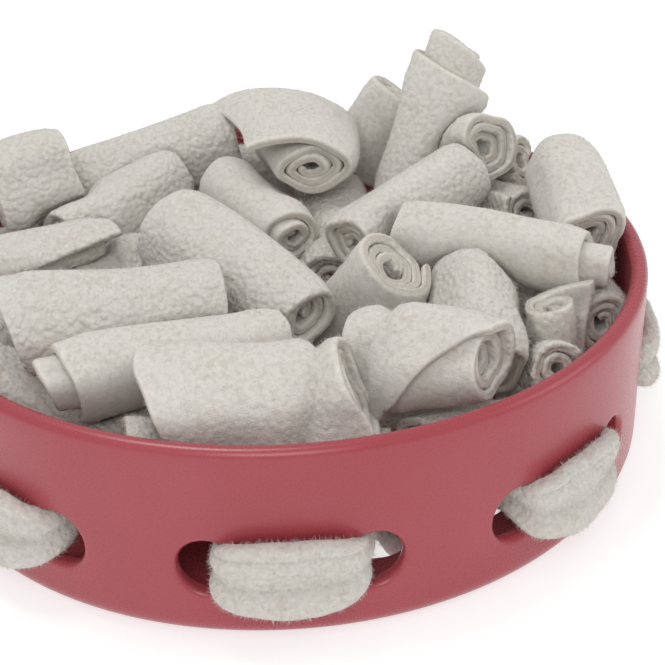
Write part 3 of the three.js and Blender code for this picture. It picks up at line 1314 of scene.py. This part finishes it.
@dataclass
class Band:
    """The gathered middle of a strip, from one hole over the plastic to the next."""

    number: int
    centre: np.ndarray
    out: np.ndarray
    side: np.ndarray
    width_way: np.ndarray
    kind: str = ""
    outward_sign: float = 1.0
    thickness: float = 2.1
    step: float = 1.4
    column_step: float = 1.4
    nub: float = 0.75
    crease: float = 1.7
    slit: float = 0.94

    # Half a band from its middle to its end. The last three columns are its half thickness and its
    # reach both ways across its width.
    ROWS: ClassVar[Tuple[Tuple[float, ...], ...]] = ()
    # How the path is smoothed, how round the section is, and how far the middle is padded.
    SAMPLES = 400
    SMOOTH_ROUNDS = 60
    SHELF_POWER = 0.75
    FRONT_POWER = 0.7
    PAD = 1.5
    PADDED = (0.55, 0.95)
    # Creases along the band: where round the section, how wide, and how deep.
    CREASES = ((-0.1, 0.11, 1.0), (0.75, 0.16, 0.45))
    CREASED = (0.45, 0.8)
    # Unevenness: wavelengths and sizes, and where the gathers deepen towards the holes.
    RIPPLE_SEED = 400
    GATHER_SEED = 500
    RIPPLES = (9, 34)
    RIPPLE = 0.45
    GATHERS = (5, 9)
    GATHER = 0.25
    HOLE_GATHER = 0.8
    GATHERED = (0.4, 0.85)
    STRETCH = 0.15
    UNEVEN_DEPTH = 0.8
    UNEVEN_WIDTH = 0.02
    FRONT_ONLY = 0.2

    @property
    def name(self) -> str:
        """The piece's name."""
        return f"fleece_{self.kind}_band_{self.number}"

    @property
    def node(self) -> str:
        """The solid that this band stands for."""
        return f"{self.kind}_band_{self.number}"

    @property
    def pattern(self) -> int:
        """What picks the band's own unevenness."""
        return self.number

    def _line(self, rows: np.ndarray) -> np.ndarray:
        """The band's middle line.

        Args:
            rows: the band's rows from end to end.

        Returns:
            Distances along side, out and width_way for each row.
        """
        raise NotImplementedError

    def _path(self) -> Tuple[np.ndarray, ...]:
        """The band's middle line with its size at each station.

        Returns:
            Stations, points, half thickness, and how far it reaches up and down across its width.
        """
        half = np.array(self.ROWS)
        mirrored = half[:0:-1].copy()
        mirrored[:, 0] *= -1
        rows = np.concatenate([mirrored, half])
        line = self._line(rows)
        steps = np.linalg.norm(np.diff(line, axis=0), axis=1)
        knots = np.concatenate([[0], np.cumsum(steps)])
        fine = np.linspace(0, knots[-1], self.SAMPLES)
        columns = (*line.T, *rows[:, -3:].T)
        values = np.stack([np.interp(fine, knots, column) for column in columns], -1)
        for _ in range(self.SMOOTH_ROUNDS):
            values[1:-1] = (values[:-2] + 2 * values[1:-1] + values[2:]) / 4
        lengths = np.linalg.norm(np.diff(values[:, :3], axis=0), axis=1)
        fine = np.concatenate([[0], np.cumsum(lengths)])
        stations = Cloth.stations(fine[-1], self.step)
        values = np.stack([np.interp(stations, fine, column) for column in values.T], -1)
        local = values[:, :3]
        points = self.centre + local[:, :1] * self.side + local[:, 1:2] * self.out
        return stations, points + local[:, 2:3] * self.width_way, *values[:, 3:].T

    def _section(
        self, along: np.ndarray, turn: np.ndarray, across: np.ndarray, sizes: Sequence[np.ndarray]
    ) -> Tuple[np.ndarray, np.ndarray]:
        """The folded strip's section at each station.

        Args:
            along: the stations.
            turn: the angle round the section of each column.
            across: the columns' places on the flat strip.
            sizes: half thickness and the reach up and down at each station.

        Returns:
            How far out and how far up each point lies from the middle line.
        """
        thick, high, low = sizes
        shelf = np.abs(np.sin(turn)) ** self.SHELF_POWER * np.sign(np.sin(turn))
        front = np.abs(np.cos(turn)) ** self.FRONT_POWER * np.sign(np.cos(turn))
        inner = self.thickness / 2
        to_end = np.abs(along / along[-1] * 2 - 1)[:, None]
        pad = self.PAD * np.abs(np.sin(2 * turn))[None, :] * (1 - smoothstep(*self.PADDED, to_end))
        groove = np.zeros(len(turn))
        for at, wide, deep in self.CREASES:
            groove = groove + deep * self.crease * np.exp(-(((turn - at) / wide) ** 2))
        groove = groove[None, :] * (1 - smoothstep(*self.CREASED, to_end))
        outwards = (thick - inner)[:, None] * front[None, :]
        outwards = outwards + np.where(front > 0, pad - groove, 0)
        upwards = (np.where(shelf > 0, high[:, None], low[:, None]) - inner) * shelf[None, :]
        ripples = Ripples(self.RIPPLE_SEED + self.pattern, *self.RIPPLES)
        gathers = Ripples(self.GATHER_SEED + self.pattern, *self.GATHERS)
        amount = self.GATHER + self.HOLE_GATHER * smoothstep(*self.GATHERED, to_end)
        place, width = along[:, None], across[None, :]
        uneven = self.RIPPLE * ripples.at(place, width)
        uneven = uneven + amount * gathers.at(place * self.STRETCH, width)
        on_front = front[None, :] > self.FRONT_ONLY
        outwards = outwards + np.where(on_front, uneven * self.UNEVEN_DEPTH, 0)
        return outwards, upwards * (1 + self.UNEVEN_WIDTH * ripples.at(place, 0.0))

    def build(self) -> Tuple[bpy.types.Object, float]:
        """Makes the strip, its two long borders folded round to meet behind.

        Returns:
            The sheet and its length in millimetres.
        """
        along, points, *sizes = self._path()
        tangent = unit(np.gradient(points, along, axis=0))
        outward = unit(np.cross(tangent, self.width_way))
        middle_row = len(outward) // 2
        if outward[middle_row] @ self.out * self.outward_sign < 0:
            outward = -outward
        upward = np.cross(outward, tangent)
        if upward[middle_row] @ self.width_way < 0:
            upward = -upward
        across = Cloth.stations(STRIP_WIDTH, self.column_step)
        turn = (across / across[-1] * 2 - 1) * math.pi * self.slit
        out_by, up_by = self._section(along, turn, across, sizes)
        middle = points[:, None, :] + out_by[..., None] * outward[:, None, :]
        middle = middle + up_by[..., None] * upward[:, None, :]
        lengthways = np.gradient(middle, along, axis=0)
        crossways = np.gradient(middle, across, axis=1)
        facing = unit(np.cross(lengthways, crossways))
        if ((middle - points[:, None, :]) * facing).sum() < 0:
            facing = -facing
        half = np.full(middle.shape[:2], self.thickness / 2)
        sheet = Cloth(self.name, middle, facing, half, along, across, self.nub)
        return sheet.build(), float(along[-1])

    def dress(self, material: bpy.types.Material) -> bpy.types.Object:
        """Builds the band and gives it its finish.

        Args:
            material: the fleece.

        Returns:
            The finished piece.
        """
        piece, length = self.build()
        dress_cloth(piece, material, self.node, (STRIP_WIDTH, length))
        return piece


@dataclass
class WallBand(Band):
    """A band round the outside of the wall."""

    kind: str = "wall"

    # Angle in degrees, distance out, height over the hole, and the three sizes.
    ROWS = (
        (0.0, 117.3, -0.4, 2.5, 11.6, 12.6),
        (3.2, 117.3, -0.3, 2.5, 11.6, 12.1),
        (6.1, 117.3, -0.2, 2.5, 11.0, 10.6),
        (8.1, 115.9, 0.0, 2.7, 9.6, 9.2),
        (8.8, 112.2, 0.0, 3.1, 7.6, 7.4),
        (9.2, 107.6, 0.6, 3.3, 7.6, 7.4),
        (9.0, 102.6, 2.0, 3.6, 9.5, 8.5),
    )

    @property
    def pattern(self) -> int:
        """What picks the band's own unevenness."""
        return self.number - 1

    def _line(self, rows: np.ndarray) -> np.ndarray:
        """The band's middle line, bent round the bowl.

        Args:
            rows: the band's rows from end to end.

        Returns:
            Distances along side, out and width_way for each row.
        """
        turn = np.radians(rows[:, 0])
        return np.stack([rows[:, 1] * np.sin(turn), rows[:, 1] * np.cos(turn), rows[:, 2]], -1)


@dataclass
class FloorBand(Band):
    """A band under the floor, whose out is up, so that it bulges the other way."""

    kind: str = "floor"
    outward_sign: float = -1.0
    crease: float = 0.5

    # Distance sideways, height over the floor, and the three sizes.
    ROWS = (
        (0.0, -5.3, 2.3, 11.6, 11.6),
        (9.2, -5.1, 2.3, 10.6, 10.6),
        (12.2, -2.6, 2.4, 9.2, 9.2),
        (13.0, 0.4, 2.8, 8.4, 8.4),
        (13.0, 3.4, 3.0, 9.0, 9.0),
    )

    @property
    def pattern(self) -> int:
        """What picks the band's own unevenness."""
        return self.number + 20

    def _line(self, rows: np.ndarray) -> np.ndarray:
        """The band's middle line, in an upright plane.

        Args:
            rows: the band's rows from end to end.

        Returns:
            Distances along side, out and width_way for each row.
        """
        return np.stack([rows[:, 0], rows[:, 1], np.zeros(len(rows))], -1)


def directions(turn: float) -> Tuple[np.ndarray, np.ndarray]:
    """The directions outwards and sideways at an angle round the bowl, from its front."""
    out = np.array([math.sin(turn), -math.cos(turn), 0.0])
    return out, np.array([math.cos(turn), math.sin(turn), 0.0])


@dataclass
class Threading:
    """All the bands, round the wall and under the floor."""

    wall_pairs: int = 8

    UP = np.array([0.0, 0.0, 1.0])

    def wall_bands(self) -> List[Band]:
        """The bands round the outside of the wall.

        Returns:
            One band for each pair of wall holes.
        """
        bands = []
        for index in range(self.wall_pairs):
            out, side = directions(index * math.tau / self.wall_pairs)
            bands.append(WallBand(index + 1, self.UP * HOLE_HEIGHT, out, side, self.UP))
        return bands

    def floor_bands(self) -> List[Band]:
        """The bands under the floor.

        Returns:
            One band for each pair of floor holes.
        """
        bands = []
        for pairs, out_by, first in FLOOR_RINGS:
            for index in range(pairs):
                out, side = directions(math.radians(first) + index * math.tau / pairs)
                centre = out * out_by + self.UP * FLOOR_TOP
                bands.append(FloorBand(len(bands) + 1, centre, self.UP, side, out))
        return bands

    def dress(self, material: bpy.types.Material) -> List[bpy.types.Object]:
        """Builds and finishes all the bands.

        Args:
            material: the fleece.

        Returns:
            The pieces, the wall's first.
        """
        return [band.dress(material) for band in self.wall_bands() + self.floor_bands()]


class Shell:
    """Rings of points and the faces between them."""

    def __init__(self) -> None:
        """Starts with nothing."""
        self.points: List[np.ndarray] = []
        self.faces: List[Tuple[int, ...]] = []

    def add(self, ring: np.ndarray) -> np.ndarray:
        """Adds a ring.

        Args:
            ring: its points.

        Returns:
            The points' numbers.
        """
        start = sum(len(part) for part in self.points)
        self.points.append(np.asarray(ring, float))
        return np.arange(start, start + len(ring))

    def join(self, rings: Sequence[np.ndarray]) -> None:
        """Joins each closed ring to the next with quads.

        Args:
            rings: the rings' point numbers.
        """
        for first, second in zip(rings, rings[1:]):
            after = np.roll(np.arange(len(first)), -1)
            self.faces += [(first[a], first[b], second[b], second[a]) for a, b in enumerate(after)]

    def lathe(self, rows: np.ndarray, count: int) -> Tuple[np.ndarray, np.ndarray]:
        """Turns rows round the upright axis and joins them.

        Args:
            rows: each row's radius and height.
            count: how many points go round.

        Returns:
            The first and the last ring.
        """
        turns = np.arange(count) * math.tau / count
        rings = []
        for radius, height in rows:
            level = np.full(count, height)
            ring = np.stack([radius * np.sin(turns), -radius * np.cos(turns), level], -1)
            rings.append(self.add(ring))
        self.join(rings)
        return rings[0], rings[-1]

    def fill(self, loops: Sequence[np.ndarray]) -> None:
        """Fills a level outline with its holes.

        Args:
            loops: the point numbers of the outline and of each hole.
        """
        everything = np.concatenate(self.points)
        order = np.concatenate(loops)
        flat = [[Vector((*everything[i][:2], 0.0)) for i in loop] for loop in loops]
        for triangle in tessellate_polygon(flat):
            self.faces.append(tuple(int(order[k]) for k in triangle))


@dataclass
class Bowl:
    """The plastic bowl: a foot ring, a floor with holes, a wall with rounded holes, and a lip."""

    name: str = "moulded_bowl"
    cell_columns: int = 16
    cell_rows: int = 12
    outer_low: float = 8.6
    inner_low: float = 12.0
    cell_top: float = 38.6
    outer_round: float = 1.9
    inner_round: float = 1.2
    floor_round: float = 0.9
    floor_hole_sides: int = 32
    foot_chamfer: float = 0.4
    foot_chamfer_height: float = 0.35
    foot_slope: float = 1.5
    wall_steps: int = 5
    lip_steps: int = 13
    corner_steps: int = 9
    inner_corner_steps: int = 7
    sharp_angle: float = 40.0

    # Cloth keeps this far from the plastic.
    CLEARANCE = 0.6
    # How a hole's ring turns into its cell's outline, and the bends of the rounded edges.
    SPREAD = (1.0, 0.72, 0.48, 0.28, 0.13, 0.04)
    WALL_BENDS = (0, 15, 32, 50, 70, 90)
    FLOOR_BENDS = (0, 22, 45, 68, 90)
    WELD = 0.00002

    @staticmethod
    def outer_radius(height: np.ndarray) -> np.ndarray:
        """The outside of the wall at a height."""
        share = (height - FOOT_CORNER) / (BOWL_HEIGHT - LIP_RADIUS - FOOT_CORNER)
        return FOOT_RADIUS + (RIM_RADIUS - FOOT_RADIUS) * share

    @staticmethod
    def inner_radius(height: np.ndarray) -> np.ndarray:
        """The inside of the wall, its rounded foot included.

        Args:
            height: heights over the ground.

        Returns:
            The radius at each height.
        """
        corner = FLOOR_TOP + FOOT_CORNER
        foot = FOOT_RADIUS - WALL
        share = (height - corner) / (BOWL_HEIGHT - LIP_RADIUS - corner)
        straight = foot + (RIM_RADIUS - 2 * LIP_RADIUS - foot) * share
        drop = np.clip(corner - height, 0, FOOT_CORNER)
        arc = foot - FOOT_CORNER + np.sqrt(FOOT_CORNER**2 - drop**2)
        return np.where(height < corner, arc, straight)

    @classmethod
    def is_clear(cls, points: np.ndarray) -> np.ndarray:
        """Whether points lie clear of the plastic, so that cloth may be there.

        Args:
            points: points in millimetres.

        Returns:
            True for each point that is clear.
        """
        out = np.hypot(points[..., 0], points[..., 1])
        height = points[..., 2]
        beyond = out > cls.inner_radius(np.clip(height, FLOOR_TOP, BOWL_HEIGHT)) - cls.CLEARANCE
        in_wall = beyond & (height < BOWL_HEIGHT + cls.CLEARANCE)
        return (height > FLOOR_TOP + cls.CLEARANCE) & ~in_wall

    def _cell_outline(self, low: float) -> Tuple[np.ndarray, np.ndarray]:
        """The outline of a hole's part of the wall, from its lowest corner.

        Args:
            low: the outline's lowest height.

        Returns:
            Angles from the hole's middle, and heights.
        """
        half_turn = math.pi / HOLE_COUNT
        columns = np.linspace(-half_turn, half_turn, self.cell_columns + 1)
        rows = np.linspace(low, self.cell_top, self.cell_rows + 1)
        right = np.full(self.cell_rows, half_turn)
        bottom = np.full(self.cell_columns, low)
        top = np.full(self.cell_columns, self.cell_top)
        angles = np.concatenate([columns[:-1], right, columns[:0:-1], -right])
        return angles, np.concatenate([bottom, rows[:-1], top, rows[:0:-1]])

    def _wall_side(
        self, turn: float, low: float, profile: Callable, rounding: float, inward: float
    ) -> List[np.ndarray]:
        """One side of the wall round a hole, from the cell's outline into the hole.

        Args:
            turn: the angle of the cell's middle, in radians.
            low: the cell's lowest height.
            profile: gives the wall's radius at a height.
            rounding: the radius of the hole's rounded edge.
            inward: -1 where the edge bends towards the axis and 1 where it bends away.

        Returns:
            Rings of points.
        """
        reference = float(profile(np.array(HOLE_HEIGHT)))
        angles, heights = self._cell_outline(low)
        outline = np.stack([reference * np.sin(angles), heights - HOLE_HEIGHT], -1)
        way = np.arctan2(outline[:, 1], outline[:, 0])
        circle = np.stack([np.cos(way), np.sin(way)], -1)
        widest = HOLE_RADIUS + rounding
        rings = [(circle * widest * (1 - share) + outline * share, 0.0) for share in self.SPREAD]
        for bend in np.radians(self.WALL_BENDS):
            distance = HOLE_RADIUS + rounding * (1 - math.sin(bend))
            rings.append((circle * distance, rounding * (1 - math.cos(bend))))
        placed = []
        for ring, depth in rings:
            radius = profile(HOLE_HEIGHT + ring[:, 1]) + inward * depth
            angle = turn + np.arcsin(ring[:, 0] / reference)
            height = HOLE_HEIGHT + ring[:, 1]
            placed.append(np.stack([radius * np.sin(angle), -radius * np.cos(angle), height], -1))
        return placed

    def _wall_cell(self, turn: float) -> List[np.ndarray]:
        """The rings of points round one hole, from the outside of the wall to the inside.

        Args:
            turn: the angle of the cell's middle, in radians.

        Returns:
            Rings of points, each joined to the next by faces.
        """
        outside = self._wall_side(turn, self.outer_low, self.outer_radius, self.outer_round, -1.0)
        inside = self._wall_side(turn, self.inner_low, self.inner_radius, self.inner_round, 1.0)
        return outside + inside[::-1]

    def _profile(self) -> np.ndarray:
        """The rows of the wall that have no holes: over the cells, round the lip, and down inside.

        Returns:
            Radius and height of each row, from outside to inside.
        """
        lip = BOWL_HEIGHT - LIP_RADIUS
        heights = np.linspace(self.cell_top, lip, self.wall_steps)
        outer = [(float(self.outer_radius(np.array(z))), z) for z in heights[:-1]]
        arc = [
            (RIM_RADIUS - LIP_RADIUS + LIP_RADIUS * math.cos(a), lip + LIP_RADIUS * math.sin(a))
            for a in np.linspace(0, math.pi, self.lip_steps)
        ]
        inner = [(float(self.inner_radius(np.array(z))), z) for z in heights[-2::-1]]
        return np.array(outer + arc + inner)

    def _foot(self) -> np.ndarray:
        """The rows under the cells outside: the rounded corner, the ring it stands on, and its inside.

        Returns:
            Radius and height of each row, from the cells down to the underside.
        """
        rows = [(float(self.outer_radius(np.array(self.outer_low))), self.outer_low)]
        middle = FOOT_RADIUS - FOOT_CORNER
        for a in np.linspace(0, -math.pi / 2, self.corner_steps):
            rows.append((middle + FOOT_CORNER * math.cos(a), FOOT_CORNER + FOOT_CORNER * math.sin(a)))
        ring = middle - FOOT_RING_WIDTH
        rows.append((ring + self.foot_chamfer, 0.0))
        rows.append((ring, self.foot_chamfer_height))
        rows.append((ring - self.foot_slope, FLOOR_TOP - FLOOR_THICKNESS))
        return np.array(rows)

    def _inner_foot(self) -> np.ndarray:
        """The rows under the cells inside, down to the floor.

        Returns:
            Radius and height of each row.
        """
        corner = FLOOR_TOP + FOOT_CORNER
        first = math.asin((self.inner_low - corner) / FOOT_CORNER)
        out = FOOT_RADIUS - WALL - FOOT_CORNER
        return np.array(
            [
                (out + FOOT_CORNER * math.cos(a), corner + FOOT_CORNER * math.sin(a))
                for a in np.linspace(first, -math.pi / 2, self.inner_corner_steps)
            ]
        )

    def _floor_holes(self) -> List[np.ndarray]:
        """The middles of the floor's holes.

        Returns:
            Each hole's x and y.
        """
        middles = []
        for pairs, out_by, first in FLOOR_RINGS:
            for index in range(pairs):
                out, side = directions(math.radians(first) + index * math.tau / pairs)
                for sign in (-1, 1):
                    middles.append((out * out_by + side * sign * FLOOR_HOLE_SPREAD)[:2])
        return middles

    def _floor_hole(self, middle: np.ndarray) -> List[np.ndarray]:
        """The rings of one hole in the floor, from the top to the underside.

        Args:
            middle: the hole's x and y.

        Returns:
            Rings of points.
        """
        sides = np.arange(self.floor_hole_sides) * math.tau / self.floor_hole_sides
        circle = np.stack([np.cos(sides), np.sin(sides)], -1)
        rings = []
        for level, sign, bends in (
            (FLOOR_TOP, -1, self.FLOOR_BENDS),
            (FLOOR_TOP - FLOOR_THICKNESS, 1, self.FLOOR_BENDS[::-1]),
        ):
            for bend in np.radians(bends):
                distance = FLOOR_HOLE_RADIUS + self.floor_round * (1 - math.sin(bend))
                height = level + sign * self.floor_round * (1 - math.cos(bend))
                flat = middle + circle * distance
                rings.append(np.column_stack([flat, np.full(len(flat), height)]))
        return rings

    def build(self) -> bpy.types.Object:
        """Makes the bowl as one closed shape.

        Returns:
            The bowl.
        """
        shell = Shell()
        for index in range(HOLE_COUNT):
            cell = self._wall_cell((index + 0.5) * math.tau / HOLE_COUNT)
            shell.join([shell.add(ring) for ring in cell])
        count = HOLE_COUNT * self.cell_columns
        shell.lathe(self._profile(), count)
        _, underside = shell.lathe(self._foot(), count)
        _, floor = shell.lathe(self._inner_foot(), count)
        tops, bottoms = [], []
        for middle in self._floor_holes():
            rings = [shell.add(ring) for ring in self._floor_hole(middle)]
            shell.join(rings)
            tops.append(rings[0])
            bottoms.append(rings[-1])
        shell.fill([floor, *tops])
        shell.fill([underside, *bottoms])
        piece = mesh_object(self.name, np.concatenate(shell.points), shell.faces)
        self._weld(piece.data)
        return piece

    def _weld(self, mesh: bpy.types.Mesh) -> None:
        """Merges the points that neighbouring parts share, and turns every face out.

        Args:
            mesh: the bowl's mesh.
        """
        shape = bmesh.new()
        shape.from_mesh(mesh)
        bmesh.ops.remove_doubles(shape, verts=shape.verts, dist=self.WELD)
        bmesh.ops.recalc_face_normals(shape, faces=shape.faces)
        if shape.calc_volume(signed=True) < 0:
            bmesh.ops.reverse_faces(shape, faces=shape.faces)
        open_edges = sum(1 for edge in shape.edges if len(edge.link_faces) != 2)
        LOG.info("%s: %d faces, %d open edges", mesh.name, len(shape.faces), open_edges)
        shape.to_mesh(mesh)
        shape.free()
        mesh.set_sharp_from_angle(angle=math.radians(self.sharp_angle))

    def dress(self, material: bpy.types.Material) -> bpy.types.Object:
        """Builds the bowl and gives it its finish.

        Args:
            material: the plastic.

        Returns:
            The finished bowl.
        """
        piece = self.build()
        piece.data.materials.append(material)
        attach(piece, BODY)
        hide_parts("bowl")
        return piece


@dataclass(frozen=True)
class Lamp:
    """A soft square light, in metres and watts."""

    name: str
    at: Tuple[float, float, float]
    aim: Tuple[float, float, float]
    size: float
    power: float

    def build(self) -> None:
        """Makes the light."""
        lamp = bpy.data.lights.new(self.name, "AREA")
        lamp.shape = "SQUARE"
        lamp.size = self.size
        lamp.energy = self.power
        piece = add_object(self.name, lamp)
        piece.location = self.at
        piece.rotation_mode = "QUATERNION"
        facing = Vector(self.aim) - Vector(self.at)
        piece.rotation_quaternion = facing.to_track_quat("-Z", "Y")


@dataclass
class Studio:
    """A pale floor, soft lights and the camera at the photograph's angle."""

    camera_at: Tuple[float, float, float] = (0.006232, -0.470135, 0.297902)
    elevation: float = 24.5
    azimuth: float = -5.1
    focal_pixels: float = 1652.87
    centre_x: float = 434.67
    centre_y: float = 181.13
    image: int = 665
    sensor: float = 36.0
    world_strength: float = 0.6
    floor_half: float = 6.0
    floor_grey: float = 0.5
    floor_roughness: float = 0.8
    floor_glow: float = 0.62
    nearest: float = 0.01
    farthest: float = 50.0

    WHITE = (1.0, 1.0, 1.0, 1.0)
    LAMPS = (
        Lamp("top_light", (-0.25, 0.1, 1.1), (0.0, 0.0, 0.05), 0.4, 3.6),
        Lamp("front_light", (-0.1, -1.05, 0.95), (0.0, 0.0, 0.03), 0.6, 4.6),
        Lamp("side_light", (1.1, -0.1, 0.6), (0.0, 0.0, 0.04), 0.6, 1.8),
    )

    def camera(self) -> bpy.types.Object:
        """Makes the camera.

        Returns:
            The camera, set as the scene's.
        """
        lens = bpy.data.cameras.new("camera")
        lens.sensor_width = self.sensor
        lens.lens = self.focal_pixels / self.image * self.sensor
        lens.shift_x = (self.image / 2 - self.centre_x) / self.image
        lens.shift_y = (self.centre_y - self.image / 2) / self.image
        lens.clip_start, lens.clip_end = self.nearest, self.farthest
        lens.dof.use_dof = False
        camera = add_object("camera", lens)
        turn, rise = math.radians(self.azimuth), math.radians(self.elevation)
        back = Vector(
            (math.sin(turn) * math.cos(rise), -math.cos(turn) * math.cos(rise), math.sin(rise))
        )
        right = Vector((math.cos(turn), math.sin(turn), 0.0))
        up = back.cross(right)
        rows = Matrix((right, up, back)).transposed()
        camera.matrix_world = Matrix.Translation(Vector(self.camera_at)) @ rows.to_4x4()
        bpy.context.scene.camera = camera
        return camera

    def floor(self) -> bpy.types.Object:
        """Makes the pale floor.

        Returns:
            The floor.
        """
        material = bpy.data.materials.new("studio_floor")
        material.use_nodes = True
        tree = NodeTree(material.node_tree)
        shader = tree.make(
            "ShaderNodeBsdfPrincipled",
            None,
            {
                "Base Color": (self.floor_grey,) * 3 + (1.0,),
                "Roughness": self.floor_roughness,
                "Emission Color": self.WHITE,
                "Emission Strength": self.floor_glow,
            },
        )
        tree.make("ShaderNodeOutputMaterial", None, {"Surface": shader})
        mesh = bpy.data.meshes.new("studio_floor")
        half = self.floor_half
        corners = [(-half, -half, 0.0), (half, -half, 0.0), (half, half, 0.0), (-half, half, 0.0)]
        mesh.from_pydata(corners, [], [(0, 1, 2, 3)])
        mesh.materials.append(material)
        piece = add_object("studio_floor", mesh)
        return piece

    def world(self) -> None:
        """Sets an even, nearly white surround."""
        world = bpy.data.worlds.new("studio_world")
        world.use_nodes = True
        tree = NodeTree(world.node_tree)
        values = {"Color": self.WHITE, "Strength": self.world_strength}
        shader = tree.make("ShaderNodeBackground", None, values)
        tree.make("ShaderNodeOutputWorld", None, {"Surface": shader})
        bpy.context.scene.world = world
        bpy.context.scene.view_settings.view_transform = "Standard"

    def build(self) -> None:
        """Makes the whole studio."""
        self.camera()
        self.floor()
        self.world()
        for lamp in self.LAMPS:
            lamp.build()


def main() -> None:
    """Builds the studio, the bowl, the bands and the rolls."""
    logging.basicConfig(level=logging.INFO, format="%(message)s")
    fleece = Fleece().build()
    plastic = SatinPlastic().build()
    Studio().build()
    bowl = Bowl().dress(plastic)
    bands = Threading().dress(fleece)
    rolls = Heap().dress(fleece)
    everything = [bowl, *bands, *rolls]
    half = len(rolls) // 2
    for name, pieces in (("bands", bands), ("heap_top", rolls[:half]), ("heap_low", rolls[half:])):
        Fuzz(f"fleece_fuzz_{name}").dress(pieces, everything, fleece)
    LOG.info("made %s, %d bands and %d rolls", bowl.name, len(bands), len(rolls))


if __name__ == "__main__":
    main()
